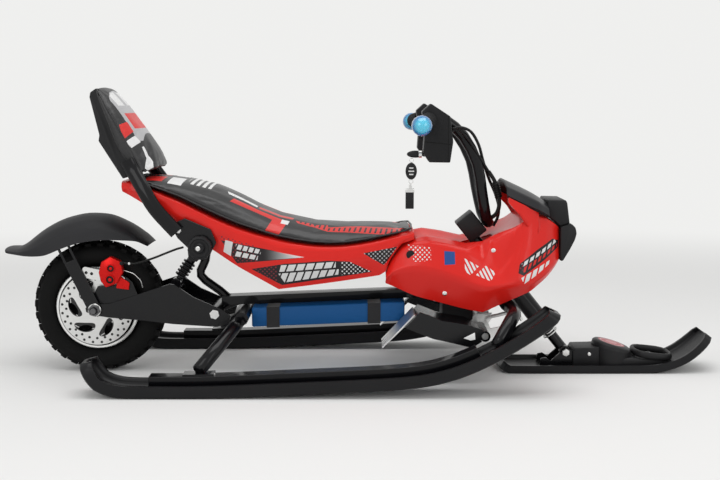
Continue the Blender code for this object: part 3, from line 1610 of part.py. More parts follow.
def foot_brake_shaft():
    """The cross shaft of the foot rests in its bracket: two side plates, arched bars and a post."""
    shaft = shaft_centre()
    reach = plate_inner_y + plate_width
    outline = place(bracket_shares, (plate_rear_x, plate_low_z), (plate_length, plate_height))
    shapes = [tube([shaft + Vector((0, s * reach, 0)) for s in (-1, 1)], shaft_radius, 12)]
    top = backbone_at(post_rear_x) - backbone_height / 2 - seat_gap
    web_z = bracket_top_z
    shapes.append(
        box(
            (post_rear_x, -bracket_y, web_z - bracket_sheet),
            (post_rear_x + post_length, bracket_y, web_z),
        )
    )
    shapes.append(
        box(
            (post_rear_x, -backbone_width / 2, web_z - bracket_sheet / 2),
            (post_rear_x + post_length, backbone_width / 2, top),
        )
    )
    for side in (-1, 1):
        edge = sorted((side * (bracket_y - bracket_sheet), side * bracket_y))
        shapes.append(prism(outline, edge[0], edge[1]))
        arch = place(arch_shares, (plate_rear_x, plate_low_z), (plate_length, plate_height))
        middle = side * (bracket_y - bracket_sheet / 2)
        shapes.append(
            sweep(smooth([(x, middle, z) for x, z in arch], 2), bracket_sheet * 0.9, bracket_sheet, 6)
        )
    return add_object("foot_brake_shaft", fuse(shapes), bare_steel("shaft"))


bracket_shares = (
    (0.915, 0.668), (1.127, 0.697), (1.064, 0.479), (1.084, 0.390), (1.111, 0.243),
    (1.234, 0.303), (1.140, -0.005), (1.036, -0.094), (0.958, -0.005), (0.932, 0.214),
    (0.882, 0.390), (0.883, 0.596),
)
arch_shares = (
    (1.045, 0.560), (1.190, 0.620), (1.310, 0.690), (1.400, 0.680), (1.470, 0.610), (1.510, 0.480),
)


def brake_claw(name, side):
    """The toothed blade bolted behind the foot rest, which digs into the snow."""
    low, high = plate_inner_y + plate_sheet, plate_inner_y + plate_width - 2 * plate_sheet
    top = Vector((claw_top_x, 0, claw_top_z))
    tip = Vector((claw_tip_x, 0, claw_tip_z))
    line = (tip - top).normalized()
    out = Vector((line.z, 0, -line.x))
    length = (tip - top).length
    corners = [(top.x, top.z), (tip.x, tip.z)]
    corners += [((tip + out * claw_sheet * 0.4).x, (tip + out * claw_sheet * 0.4).z)]
    corners += [((top + out * claw_sheet).x, (top + out * claw_sheet).z)]
    spread = sorted((side * low, side * high))
    mesh = to_mesh(name, prism(corners, spread[0], spread[1]))
    teeth = 4
    pitch = (high - low) / teeth
    notches = []
    for k in range(1, teeth):
        y = side * (low + k * pitch)
        notch = [tip + line * length * 0.05 + Vector((0, y + s * pitch * 0.42, 0)) for s in (-1, 1)]
        notch.append(tip - line * length * 0.28 + Vector((0, y, 0)))
        thick = out * overrun
        notches.append(
            loft([[corner - thick for corner in notch], [corner + thick for corner in notch]])
        )
    return add_object(name, cut(mesh, notches), bare_steel(name))


tyre()
wheel_hub()
brake_rotor()
rear_axle()
swing_arm()
swing_pivot_bolt()
main_frame()
shock_absorber()
rear_cross = Vector((cross_tube_x, 0, cross_tube_z))
front_cross = Vector(
    (front_cross_x, 0, backbone_at(front_cross_x) - backbone_height / 2 - leg_radius - seat_gap)
)
on_rail = runner_floor + rail_height + 2 * seat_gap
leg_bridge("rear_leg_bridge", rear_foot_x, on_rail, rear_leg_shares, rear_cross, rear_cross_half)
leg_bridge(
    "front_leg_bridge", front_foot_x, runner_floor + seat_gap, front_leg_shares, front_cross,
    front_cross_half,
)
seat_base()
seat_cushion()
seat_pan()
backrest_shell()
backrest_pad()
front_cowl()
windshield()
lamp_housing()
nose_cover()
battery_pack()
battery_strap("battery_strap_rear", 0.14)
battery_strap("battery_strap_front", 0.80)
controller_box()
rear_fender()
brake_caliper()
foot_brake_shaft()
for label, hand in (("right", -1), ("left", 1)):
    runner_ski("runner_ski_" + label, hand)
    runner_rail("runner_rail_" + label, hand)
    backrest_arm("backrest_arm_" + label, hand)
    saddle_bracket("saddle_bracket_" + label, hand)
    saddle_knob("saddle_knob_" + label, hand)
    fender_stay("fender_stay_" + label, hand)
    foot_plate("foot_plate_" + label, hand)
    brake_claw("brake_claw_" + label, hand)
    throttle_housing("bar_housing_" + label, hand)
    grip("grip_" + label, hand)
    grip_end("grip_end_" + label, hand)
steering_column()
stem_cover()
handlebar()
ignition_key()
control_cable()
front_ski()
ski_bracket()
rope_reel()
reel_handle()
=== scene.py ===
# %% [markdown]
# # An electric snow scooter, dressed for the camera
#
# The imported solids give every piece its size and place. This script gives them their surfaces:
# rounded edges, paint, moulded plastic, rubber, steel, vinyl and the small parts that are too
# fine for the solids, such as bolts, cables and printed stripes.

# %% Load the frame
import json
import math

import bmesh
import bpy
from mathutils import Matrix, Vector
from mathutils.bvhtree import BVHTree

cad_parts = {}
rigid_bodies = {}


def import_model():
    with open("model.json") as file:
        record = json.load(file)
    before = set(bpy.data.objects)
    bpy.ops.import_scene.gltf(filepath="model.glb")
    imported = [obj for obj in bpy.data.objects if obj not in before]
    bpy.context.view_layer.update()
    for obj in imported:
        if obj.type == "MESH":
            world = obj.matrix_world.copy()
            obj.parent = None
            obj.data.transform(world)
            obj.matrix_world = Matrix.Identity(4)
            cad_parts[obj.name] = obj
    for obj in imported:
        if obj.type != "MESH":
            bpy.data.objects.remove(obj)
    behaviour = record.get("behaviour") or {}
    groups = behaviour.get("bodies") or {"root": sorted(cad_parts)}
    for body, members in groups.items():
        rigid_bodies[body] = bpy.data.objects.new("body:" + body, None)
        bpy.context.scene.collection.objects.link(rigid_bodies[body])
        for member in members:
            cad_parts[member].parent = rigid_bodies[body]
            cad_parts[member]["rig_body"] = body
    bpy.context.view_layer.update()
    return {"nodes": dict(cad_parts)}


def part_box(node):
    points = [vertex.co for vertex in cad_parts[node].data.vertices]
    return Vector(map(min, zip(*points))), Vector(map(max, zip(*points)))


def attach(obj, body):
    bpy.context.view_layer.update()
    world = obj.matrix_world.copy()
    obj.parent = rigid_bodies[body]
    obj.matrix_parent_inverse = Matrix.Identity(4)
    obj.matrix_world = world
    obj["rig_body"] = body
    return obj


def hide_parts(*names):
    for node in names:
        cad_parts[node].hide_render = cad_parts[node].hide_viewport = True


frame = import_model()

nodes = frame["nodes"]

# %% [markdown]
# ## Camera
#
# The picture was taken from the rider's right, a little above the saddle and looking slightly
# down. A long lens keeps the two runners nearly parallel. The focal length below is the one at
# which the wheel, the ski tips and the far runner all fall where the picture has them.

# %% Camera
camera_focal_mm = 52.25
sensor_width_mm = 36.0
camera_place = Vector((0.0, -2.134, 0.556))
camera_pitch_down = math.radians(7.63)
link = bpy.context.scene.collection.objects.link

camera_data = bpy.data.cameras.new("side_camera")
camera_data.lens = camera_focal_mm
camera_data.sensor_width = sensor_width_mm
camera = bpy.data.objects.new("side_camera", camera_data)
camera.location = camera_place
camera.rotation_euler = (math.pi / 2 - camera_pitch_down, 0, 0)
link(camera)
bpy.context.scene.camera = camera
print("camera at", tuple(round(value, 3) for value in camera_place))

# %% [markdown]
# ## Node helpers
#
# A material is a small network. These helpers add one node each and return its output, so that
# a finish reads as one line of sums instead of a page of links.

# %% Node helpers


def feed(tree, value, socket):
    if isinstance(value, bpy.types.NodeSocket):
        tree.links.new(value, socket)
    else:
        socket.default_value = value


def math_node(tree, operation, first, second=0.0):
    made = tree.nodes.new("ShaderNodeMath")
    made.operation = operation
    feed(tree, first, made.inputs[0])
    feed(tree, second, made.inputs[1])
    return made.outputs["Value"]


def vector_node(tree, operation, first, second=(0, 0, 0)):
    made = tree.nodes.new("ShaderNodeVectorMath")
    made.operation = operation
    feed(tree, first, made.inputs[0])
    feed(tree, second, made.inputs[1])
    return made.outputs["Value" if operation in ("DOT_PRODUCT", "LENGTH") else "Vector"]


def object_place(tree):
    return tree.nodes.new("ShaderNodeTexCoord").outputs["Object"]


def between(tree, value, low, high):
    above = math_node(tree, "GREATER_THAN", value, low)
    return math_node(tree, "MULTIPLY", above, math_node(tree, "LESS_THAN", value, high))


def ramp_between(tree, value, low, high):
    """A smooth step from 0 at low to 1 at high."""
    made = tree.nodes.new("ShaderNodeMapRange")
    made.interpolation_type = "SMOOTHSTEP"
    feed(tree, value, made.inputs["Value"])
    made.inputs["From Min"].default_value = low
    made.inputs["From Max"].default_value = high
    return made.outputs["Result"]


def mixed(tree, mask, colour, tint):
    made = tree.nodes.new("ShaderNodeMix")
    made.data_type = "RGBA"
    feed(tree, mask, made.inputs["Factor"])
    feed(tree, colour, made.inputs["A"])
    feed(tree, (*tint, 1), made.inputs["B"])
    return made.outputs["Result"]


def noise_node(tree, vector, scale, detail=3.0):
    made = tree.nodes.new("ShaderNodeTexNoise")
    made.inputs["Detail"].default_value = detail
    tree.links.new(vector, made.inputs["Vector"])
    feed(tree, scale, made.inputs["Scale"])
    return made.outputs["Fac"]


def bump_node(tree, height, strength, distance, normal=None):
    made = tree.nodes.new("ShaderNodeBump")
    made.inputs["Distance"].default_value = distance
    tree.links.new(height, made.inputs["Height"])
    feed(tree, strength, made.inputs["Strength"])
    if normal:
        tree.links.new(normal, made.inputs["Normal"])
    return made.outputs["Normal"]


def brightened(tree, colour, amount):
    """The colour times an amount that varies over the surface."""
    made = tree.nodes.new("ShaderNodeVectorMath")
    made.operation = "SCALE"
    feed(tree, colour, made.inputs[0])
    tree.links.new(amount, made.inputs["Scale"])
    return made.outputs["Vector"]


def product(tree, *values):
    """All the values multiplied together. Of masks, it is where they overlap."""
    result = values[0]
    for value in values[1:]:
        result = math_node(tree, "MULTIPLY", result, value)
    return result


def split_axes(tree, vector):
    """The vector's X, Y and Z by name."""
    made = tree.nodes.new("ShaderNodeSeparateXYZ")
    tree.links.new(vector, made.inputs["Vector"])
    return made.outputs


def inverse(tree, mask):
    return math_node(tree, "SUBTRACT", 1.0, mask)


def new_material(name):
    """A new material, its node tree and its Principled shader."""
    made = bpy.data.materials.new(name)
    made.use_nodes = True
    return made, made.node_tree, made.node_tree.nodes["Principled BSDF"]


def skin_sockets(material):
    """A finished material's tree and shader, and what feeds its colour and its normal."""
    tree = material.node_tree
    shader = tree.nodes["Principled BSDF"]
    fed = [shader.inputs[label].links[0].from_socket for label in ("Base Color", "Normal")]
    return tree, shader, *fed


# %% [markdown]
# ## Stage
#
# The studio is one pale floor that runs out into a backdrop of the same colour, with no corner
# line. A wall would hide the machine from behind, so the backdrop is the world's own colour: the
# camera and the reflections see a plain pale grey there and on the far floor, while the near
# floor stays an ordinary surface and keeps the machine's shadow.

# %% Stage
floor_radius = 14.0
near_floor = 1.0
far_floor = 2.6
floor_squeeze = (0.7, 1, 0)
floor_colour = (0.83, 0.83, 0.825)
backdrop_colour = (0.866, 0.866, 0.855)


def seen_rays(tree):
    """1 for the camera's own rays and for mirror and glass rays, 0 for the light's."""
    path = tree.nodes.new("ShaderNodeLightPath")
    seen = math_node(tree, "MAXIMUM", path.outputs["Is Camera Ray"], path.outputs["Is Glossy Ray"])
    return math_node(tree, "MAXIMUM", seen, path.outputs["Is Transmission Ray"])


def shader_mix(tree, factor, first, second, target):
    blend = tree.nodes.new("ShaderNodeMixShader")
    for source, socket in zip((factor, first, second), blend.inputs):
        tree.links.new(source, socket)
    tree.links.new(blend.outputs["Shader"], target)


def floor_material():
    made, tree, shader = new_material("studio_floor")
    shader.inputs["Base Color"].default_value = (*floor_colour, 1)
    shader.inputs["Roughness"].default_value = 0.9
    shader.inputs["Specular IOR Level"].default_value = 0.1
    glow = tree.nodes.new("ShaderNodeEmission")
    glow.inputs["Color"].default_value = (*backdrop_colour, 1)
    squeezed = vector_node(tree, "MULTIPLY", object_place(tree), floor_squeeze)
    reach = vector_node(tree, "LENGTH", squeezed)
    far = product(tree, seen_rays(tree), ramp_between(tree, reach, near_floor, far_floor))
    surface = tree.nodes["Material Output"].inputs["Surface"]
    shader_mix(tree, far, shader.outputs["BSDF"], glow.outputs["Emission"], surface)
    return made


floor_bm = bmesh.new()
bmesh.ops.create_circle(floor_bm, cap_ends=True, segments=96, radius=floor_radius)
floor_mesh = bpy.data.meshes.new("studio_floor")
floor_bm.to_mesh(floor_mesh)
floor_bm.free()
floor_mesh.materials.append(floor_material())
studio_floor = bpy.data.objects.new("studio_floor", floor_mesh)
link(studio_floor)
print("floor radius:", floor_radius)

# %% [markdown]
# ## Lamps and sky
#
# One broad lamp overhead and two in front give soft shadows and long highlights on the tubes. The
# rest of the light is an even pale sky. Sun or point lamps would give the hard edges that a studio
# picture doesn't have.

# %% Light
ambient_colour = (1.0, 1.0, 0.99)
ambient_strength = 0.60


def area_lamp(name, place, target, size, power):
    lamp = bpy.data.lights.new(name, "AREA")
    lamp.shape = "RECTANGLE"
    lamp.size, lamp.size_y = size
    lamp.energy = power
    holder = bpy.data.objects.new(name, lamp)
    holder.location = place
    aim = Vector(target) - Vector(place)
    holder.rotation_euler = aim.to_track_quat("-Z", "Y").to_euler()
    link(holder)


area_lamp("overhead_lamp", (0.1, -0.5, 2.6), (0, 0, 0.2), (2.6, 1.6), 33)
area_lamp("front_lamp", (-1.6, -2.6, 1.5), (0, 0, 0.25), (1.4, 1.4), 12)
area_lamp("side_lamp", (2.0, -2.2, 1.2), (0.2, 0, 0.25), (1.2, 1.2), 8)

world = bpy.data.worlds.new("studio_world")
world.use_nodes = True
sky = world.node_tree
ambient = sky.nodes["Background"]
ambient.inputs["Color"].default_value = (*ambient_colour, 1)
ambient.inputs["Strength"].default_value = ambient_strength
shown = sky.nodes.new("ShaderNodeBackground")
shown.inputs["Color"].default_value = (*backdrop_colour, 1)
shader_mix(
    sky, seen_rays(sky), ambient.outputs["Background"], shown.outputs["Background"],
    sky.nodes["World Output"].inputs["Surface"],
)
bpy.context.scene.world = world
bpy.context.scene.view_settings.view_transform = "Standard"
print("lamps:", len(bpy.data.lights))

# %% [markdown]
# ## Shared surface groups
#
# Real plastic, paint and rubber are never one flat value. Three node groups hold what the
# finishes share: a moulded skin with fine grain and faint cloudiness, a brushed metal skin, and
# a vinyl skin with pebble grain. Each material places one of them with its own numbers, so a
# change to the grain reaches every piece of that kind.

# %% Group helper


def new_group(name, inputs):
    """A shader group with named inputs, which puts out a colour, a roughness and a normal."""
    made = bpy.data.node_groups.new(name, "ShaderNodeTree")
    for label, value in inputs.items():
        kind = "NodeSocketColor" if isinstance(value, tuple) else "NodeSocketFloat"
        socket = made.interface.new_socket(name=label, in_out="INPUT", socket_type=kind)
        socket.default_value = value
    for label, kind in (("Colour", "Color"), ("Roughness", "Float"), ("Normal", "Vector")):
        made.interface.new_socket(name=label, in_out="OUTPUT", socket_type="NodeSocket" + kind)
    made.nodes.new("NodeGroupInput").name = "in"
    made.nodes.new("NodeGroupOutput").name = "out"
    return made, made.nodes["in"].outputs, made.nodes["out"].inputs


def swung(tree, noise, amount, middle):
    """A value that wanders about the middle by the given amount."""
    swing = math_node(tree, "MULTIPLY", math_node(tree, "SUBTRACT", noise, 0.5), amount)
    return math_node(tree, "ADD", swing, middle)


# %% Moulded skin
moulded, given, result = new_group("moulded_skin", {
    "Colour": (0.5, 0.5, 0.5, 1), "Cloud": 0.1, "Roughness": 0.4, "Rub": 0.1,
    "Grain Scale": 900.0, "Grain": 0.15,
})
spot = object_place(moulded)
shade = swung(moulded, noise_node(moulded, spot, 7.0, 4.0), given["Cloud"], 1.0)
rubbed = swung(moulded, noise_node(moulded, spot, 38.0, 5.0), given["Rub"], given["Roughness"])
grain = noise_node(moulded, spot, given["Grain Scale"], 2.0)
moulded.links.new(brightened(moulded, given["Colour"], shade), result["Colour"])
moulded.links.new(rubbed, result["Roughness"])
moulded.links.new(bump_node(moulded, grain, given["Grain"], 0.0006), result["Normal"])

# %% [markdown]
# Steel that was ground or turned shows fine lines in one direction. Noise stretched along X does
# that without a picture, and the same noise tints the metal a little.

# %% Brushed skin
brushed, given, result = new_group("brushed_skin", {
    "Colour": (0.7, 0.7, 0.7, 1), "Roughness": 0.3, "Rub": 0.1, "Lines": 0.2,
})
spot = object_place(brushed)
stretch = brushed.nodes.new("ShaderNodeMapping")
stretch.inputs["Scale"].default_value = (60, 900, 900)
brushed.links.new(spot, stretch.inputs["Vector"])
lines = noise_node(brushed, stretch.outputs["Vector"], 1.0, 2.0)
shade = swung(brushed, lines, 0.16, 1.0)
rubbed = swung(brushed, noise_node(brushed, spot, 60.0, 4.0), given["Rub"], given["Roughness"])
brushed.links.new(brightened(brushed, given["Colour"], shade), result["Colour"])
brushed.links.new(rubbed, result["Roughness"])
brushed.links.new(bump_node(brushed, lines, given["Lines"], 0.0002), result["Normal"])

# %% [markdown]
# Seat vinyl is embossed with small pebbles and has long soft creases. Rounded cells give the
# pebbles, and a slow noise under them bends the light as creases do.

# %% Vinyl skin
vinyl, given, result = new_group("vinyl_skin", {
    "Colour": (0.03, 0.03, 0.03, 1), "Roughness": 0.42, "Pebble Scale": 520.0, "Pebble": 0.35,
    "Crease": 0.3,
})
spot = object_place(vinyl)
pebble = vinyl.nodes.new("ShaderNodeTexVoronoi")
pebble.feature = "SMOOTH_F1"
vinyl.links.new(spot, pebble.inputs["Vector"])
vinyl.links.new(given["Pebble Scale"], pebble.inputs["Scale"])
crease = noise_node(vinyl, spot, 26.0, 3.0)
fine = bump_node(vinyl, pebble.outputs["Distance"], given["Pebble"], 0.0006)
vinyl.links.new(bump_node(vinyl, crease, given["Crease"], 0.004, fine), result["Normal"])
shade = swung(vinyl, pebble.outputs["Distance"], 0.5, 1.0)
vinyl.links.new(brightened(vinyl, given["Colour"], shade), result["Colour"])
vinyl.links.new(swung(vinyl, crease, 0.22, given["Roughness"]), result["Roughness"])
print("surface groups:", [group.name for group in (moulded, brushed, vinyl)])

# %% [markdown]
# ## Materials
#
# Each finish on the machine is one small function call: glossy red mouldings, grained black
# mouldings, powder-coated tube, zinc-plated and ground steel, rubber, vinyl and film.

# %% Material helper


def skin_material(name, group, values, **sockets):
    """A Principled material whose colour, roughness and normal come from a skin group."""
    made, tree, shader = new_material(name)
    skin = tree.nodes.new("ShaderNodeGroup")
    skin.node_tree = group
    for label, value in values.items():
        skin.inputs[label].default_value = value
    for given_label, fed_label in (
        ("Colour", "Base Color"), ("Roughness", "Roughness"), ("Normal", "Normal"),
    ):
        tree.links.new(skin.outputs[given_label], shader.inputs[fed_label])
    for label, value in sockets.items():
        shader.inputs[label.replace("_", " ")].default_value = value
    return made


def moulded_material(
    name, colour, roughness, grain=0.15, scale=900.0, cloud=0.06, shine=0.2, **sockets
):
    values = {
        "Colour": (*colour, 1), "Cloud": 2 * cloud, "Roughness": roughness, "Rub": 0.1,
        "Grain": grain, "Grain Scale": scale,
    }
    return skin_material(name, moulded, values, Specular_IOR_Level=shine, **sockets)


def metal_material(name, colour, roughness, lines=0.2):
    values = {"Colour": (*colour, 1), "Roughness": roughness, "Rub": 0.15, "Lines": lines}
    return skin_material(name, brushed, values, Metallic=1.0)


def vinyl_material(name, colour, roughness=0.42, pebble=0.35, crease=0.3):
    values = {"Colour": (*colour, 1), "Roughness": roughness, "Pebble": pebble, "Crease": crease}
    return skin_material(name, vinyl, values, Specular_IOR_Level=0.5)


# %% Plastics, paints and rubbers
red_colour = (0.70, 0.014, 0.009)
deep_black = (0.010, 0.010, 0.011)
warm_black = (0.014, 0.014, 0.015)
vinyl_black = (0.013, 0.013, 0.014)
gloss = {"Coat_Weight": 0.22, "Coat_Roughness": 0.12}
lacquer = {"Coat_Weight": 0.38, "Coat_Roughness": 0.06}
red_cowl = moulded_material("red_cowl", red_colour, 0.34, 0.03, 300.0, 0.04, **gloss)
red_base = moulded_material("red_base", red_colour, 0.34, 0.03, 300.0, 0.04, **gloss)
black_moulding = moulded_material("black_moulding", warm_black, 0.46, 0.22, 1100.0, 0.10)
fender_moulding = moulded_material(
    "fender_moulding", (0.020, 0.020, 0.022), 0.50, 0.20, 900.0, 0.08
)
reel_moulding = moulded_material("reel_moulding", warm_black, 0.40, 0.15, 1100.0, 0.10)
ski_moulding = moulded_material("ski_moulding", deep_black, 0.34, 0.12, 700.0, 0.20)
satin_visor = moulded_material("satin_visor", (0.016, 0.016, 0.018), 0.36, 0.10, 900.0, 0.05)
housing_moulding = moulded_material("housing_moulding", deep_black, 0.44, 0.22, 1100.0, 0.10)
powder_coat = moulded_material(
    "powder_coat", (0.005, 0.005, 0.006), 0.22, 0.10, 1500.0, 0.06, 0.30
)
tube_paint = moulded_material(
    "tube_paint", (0.003, 0.003, 0.004), 0.30, 0.04, 1500.0, 0.04, 0.08, **lacquer
)
tyre_rubber = moulded_material("tyre_rubber", (0.010, 0.010, 0.010), 0.75, 0.40, 650.0, 0.30, 0.06)
grip_rubber = moulded_material("grip_rubber", deep_black, 0.60, 0.35, 1400.0, 0.10)
cable_jacket = moulded_material("cable_jacket", (0.008, 0.008, 0.008), 0.30, 0.05, 900.0, 0.05)
battery_film = moulded_material("battery_film", (0.008, 0.088, 0.27), 0.46, 0.22, 200.0, 0.16)
controller_coat = moulded_material("controller_coat", (0.012, 0.012, 0.013), 0.55, 0.25, 800.0)
anodised_red = moulded_material("anodised_red", (0.62, 0.010, 0.008), 0.28, 0.08, Metallic=0.5)
plug_rubber = moulded_material("plug_rubber", (0.012, 0.012, 0.012), 0.55, 0.2)
plated_steel = metal_material("plated_steel", (0.70, 0.70, 0.69), 0.28, 0.12)
ground_steel = metal_material("ground_steel", (0.74, 0.74, 0.73), 0.34, 0.30)
rim_steel = metal_material("rim_steel", (0.86, 0.86, 0.85), 0.30, 0.08)
dark_steel = metal_material("dark_steel", (0.13, 0.13, 0.135), 0.36, 0.15)
rotor_steel = metal_material("rotor_steel", (0.72, 0.72, 0.71), 0.36, 0.20)
seat_vinyl = vinyl_material("seat_vinyl", vinyl_black, 0.36, 0.28, 0.35)
pad_vinyl = vinyl_material("pad_vinyl", vinyl_black, 0.38, 0.28, 0.30)
piping_vinyl = vinyl_material("piping_vinyl", deep_black, 0.36, 0.15, 0.10)
print("materials so far:", len(bpy.data.materials))

# %% [markdown]
# ## Webbing
#
# The battery's straps are woven. Two crossing waves multiplied together give the small raised
# squares of a weave, and a little sheen gives its soft edge.

# %% Webbing
webbing_colour = (0.013, 0.013, 0.015)
weave_scale = 260.0


def webbing_material():
    made, tree, shader = new_material("strap_webbing")
    place = object_place(tree)
    heights = []
    for direction in ("X", "Z"):
        wave = tree.nodes.new("ShaderNodeTexWave")
        wave.bands_direction = direction
        wave.inputs["Scale"].default_value = weave_scale
        tree.links.new(place, wave.inputs["Vector"])
        heights.append(wave.outputs["Fac"])
    weave = product(tree, *heights)
    tree.links.new(bump_node(tree, weave, 0.6, 0.0005), shader.inputs["Normal"])
    tone = swung(tree, weave, 0.5, 1.0)
    tree.links.new(brightened(tree, webbing_colour, tone), shader.inputs["Base Color"])
    shader.inputs["Roughness"].default_value = 0.82
    shader.inputs["Sheen Weight"].default_value = 0.2
    return made


strap_webbing = webbing_material()
print("webbing:", strap_webbing.name)

# %% [markdown]
# ## Clear acrylic
#
# The balls at the grips' ends and the lamp's lens are clear plastic. Full transmission would show
# the pale studio through them and wash them out, so the balls let only a part of the light
# through. Their colour is painted lighter in the middle and darker towards the rim: a painted
# highlight and painted shade that give the look of a thick clear ball.

# %% Clear acrylic
acrylic_ior = 1.49
ball_centre = (0.1141, 0, 0.5089)
ball_radius = 0.0193


def clear_material(name, colour, roughness, transmission, coat=0.0):
    """Clear moulded acrylic, with faint waves in its surface."""
    made, tree, shader = new_material(name)
    ripple = noise_node(tree, object_place(tree), 90.0, 2.0)
    tree.links.new(bump_node(tree, ripple, 0.15, 0.0006), shader.inputs["Normal"])
    for label, value in (
        ("Base Color", (*colour, 1)), ("Roughness", roughness), ("IOR", acrylic_ior),
        ("Transmission Weight", transmission), ("Coat Weight", coat),
    ):
        shader.inputs[label].default_value = value
    return made


def paint_rim_shade(material, centre, radius, painted_light_colour, painted_shade_colour):
    """Paints a ball lighter in its middle and darker at its rim, seen along its bar: painted
    highlight and shade.
    """
    tree = material.node_tree
    arm = vector_node(tree, "SUBTRACT", object_place(tree), centre)
    reach = vector_node(tree, "LENGTH", vector_node(tree, "MULTIPLY", arm, (1, 0, 1)))
    depth = ramp_between(tree, reach, 0.45 * radius, 0.98 * radius)
    tint = mixed(tree, depth, (*painted_light_colour, 1), painted_shade_colour)
    tree.links.new(tint, tree.nodes["Principled BSDF"].inputs["Base Color"])


blue_acrylic = clear_material("blue_acrylic", (0.03, 0.62, 0.95), 0.04, 0.25, 1.0)
# The ball's lighter middle and darker rim are a painted highlight and painted shade.
paint_rim_shade(blue_acrylic, ball_centre, ball_radius, (0.10, 0.72, 0.98), (0.0, 0.17, 0.50))
lamp_lens = clear_material("lamp_lens", (0.90, 0.93, 0.95), 0.05, 0.8)
print("clear materials:", blue_acrylic.name, lamp_lens.name)

# %% [markdown]
# ## Printed stripes and dots
#
# The real saddle and cowl carry printed film. Thin plates laid on a curved shell would stand
# proud of it or sink into it, so the print is a mask in the shell's own material. A mask is the
# product of half-plane tests on X and Z, which draws one convex outline on both sides of the
# machine. The layout is made of plain bars, dots and wedges.

# %% Mask helpers


def polygon_mask(tree, place, points):
    """1 inside a convex outline of X and Z points, 0 outside it."""
    area = sum(a[0] * b[1] - b[0] * a[1] for a, b in zip(points, points[1:] + points[:1]))
    corners = list(points) if area > 0 else list(reversed(points))
    tests = []
    for a, b in zip(corners, corners[1:] + corners[:1]):
        normal = Vector((a[1] - b[1], 0, b[0] - a[0])).normalized()
        reach = vector_node(tree, "DOT_PRODUCT", place, tuple(normal))
        tests.append(math_node(tree, "GREATER_THAN", reach, normal.dot(Vector((a[0], 0, a[1])))))
    return product(tree, *tests)


def dot_mask(tree, place, pitch, share=0.27):
    """Round dots in staggered rows, the same through the machine's width."""
    flat = vector_node(tree, "MULTIPLY", place, (1, 0, 1))
    turned_place = tree.nodes.new("ShaderNodeMapping")
    turned_place.inputs["Rotation"].default_value = (0, math.radians(45), 0)
    tree.links.new(flat, turned_place.inputs["Vector"])
    cells = tree.nodes.new("ShaderNodeTexVoronoi")
    cells.inputs["Scale"].default_value = 1 / pitch
    cells.inputs["Randomness"].default_value = 0.0
    tree.links.new(turned_place.outputs["Vector"], cells.inputs["Vector"])
    return math_node(tree, "LESS_THAN", cells.outputs["Distance"], share)


def bar_mask(tree, place, pitch, slant, share):
    """Slanted bars, repeated along X."""
    along = vector_node(tree, "DOT_PRODUCT", place, (1 / pitch, 0, -slant / pitch))
    return math_node(tree, "LESS_THAN", math_node(tree, "FRACT", along), share)


def add_prints(material, prints, pitch=0.0062):
    """Lays prints over a material: each a tint, a style, a range of width and an outline."""
    tree, shader, colour, _ = skin_sockets(material)
    place = object_place(tree)
    axes = split_axes(tree, place)
    outward = math_node(tree, "ABSOLUTE", axes["Y"])
    dots = dot_mask(tree, place, pitch)
    for tint, style, widths, outline in prints:
        points = [(x * print_unit, z * print_unit) for x, z in outline]
        mask = polygon_mask(tree, place, points)
        if style == "dots":
            mask = product(tree, mask, dots)
        elif style == "fade":
            ends = [min(x for x, _ in points), max(x for x, _ in points)]
            mask = product(tree, mask, ramp_between(tree, axes["X"], *ends))
        elif style != "plain":
            mask = product(tree, mask, bar_mask(tree, place, *style))
        if widths:
            mask = product(tree, mask, between(tree, outward, *widths))
        colour = mixed(tree, mask, colour, tint)
    tree.links.new(colour, shader.inputs["Base Color"])
    print(material.name, "carries", len(prints), "prints")


print_unit = 0.0001
print_black = (0.014, 0.011, 0.013)
print_white = (0.72, 0.72, 0.72)
print_grey = (0.42, 0.42, 0.43)
print_red = (0.62, 0.018, 0.014)
print_rose = (0.20, 0.02, 0.03)
print_blue = (0.02, 0.075, 0.28)

# %% [markdown]
# The saddle base carries three dark wedges with slanted bars, dots and a fading tail. Outlines are
# in print units, tenths of a millimetre. A style of three numbers is the bars' pitch, their slant
# and the share of the pitch that is printed.

# %% Saddle base prints
rear_wedge = [(-2808, 2937), (-2441, 2353), (-1056, 2486), (-1746, 2625)]
middle_wedge = [
    (-2154, 2239), (-1552, 1911), (239, 2175), (-214, 2396), (-642, 2412), (-1498, 2353),
]
front_wedge = [(62, 2557), (465, 2315), (540, 2391), (740, 2684)]
add_prints(red_base, [
    (print_black, "plain", None, rear_wedge),
    (print_rose, "dots", None, [(-2808, 2937), (-2441, 2353), (-2000, 2400), (-2100, 2730)]),
    (print_white, "plain", None, [(-2650, 2830), (-2500, 2790), (-2555, 2500), (-2700, 2590)]),
    (print_white, (0.0125, 0.45, 0.72), None,
     [(-2440, 2755), (-1950, 2635), (-1965, 2545), (-2450, 2650)]),
    (print_white, (0.015, 0.45, 0.76), None,
     [(-2460, 2610), (-2010, 2512), (-2030, 2425), (-2480, 2505)]),
    (print_white, "fade", None, [(-1930, 2650), (-1746, 2615), (-1100, 2486), (-1900, 2420)]),
    (print_black, "plain", None, middle_wedge),
    (print_rose, "dots", None, [(-2154, 2239), (-1640, 1958), (-1640, 2329)]),
    (print_white, (0.018, 0.4, 0.8), None,
     [(-1560, 2325), (-480, 2392), (-480, 2275), (-1600, 2185)]),
    (print_white, (0.015, 0.4, 0.78), None,
     [(-1620, 2150), (-420, 2240), (-430, 2125), (-1500, 1965)]),
    (print_white, "dots", None, [(-380, 2110), (239, 2175), (-214, 2396), (-380, 2400)]),
    (print_black, "plain", None, front_wedge),
    (print_grey, "dots", None, front_wedge),
])

# %% [markdown]
# The cowl carries a dotted patch, a blue patch, two barred leaves and a barred band at its front.

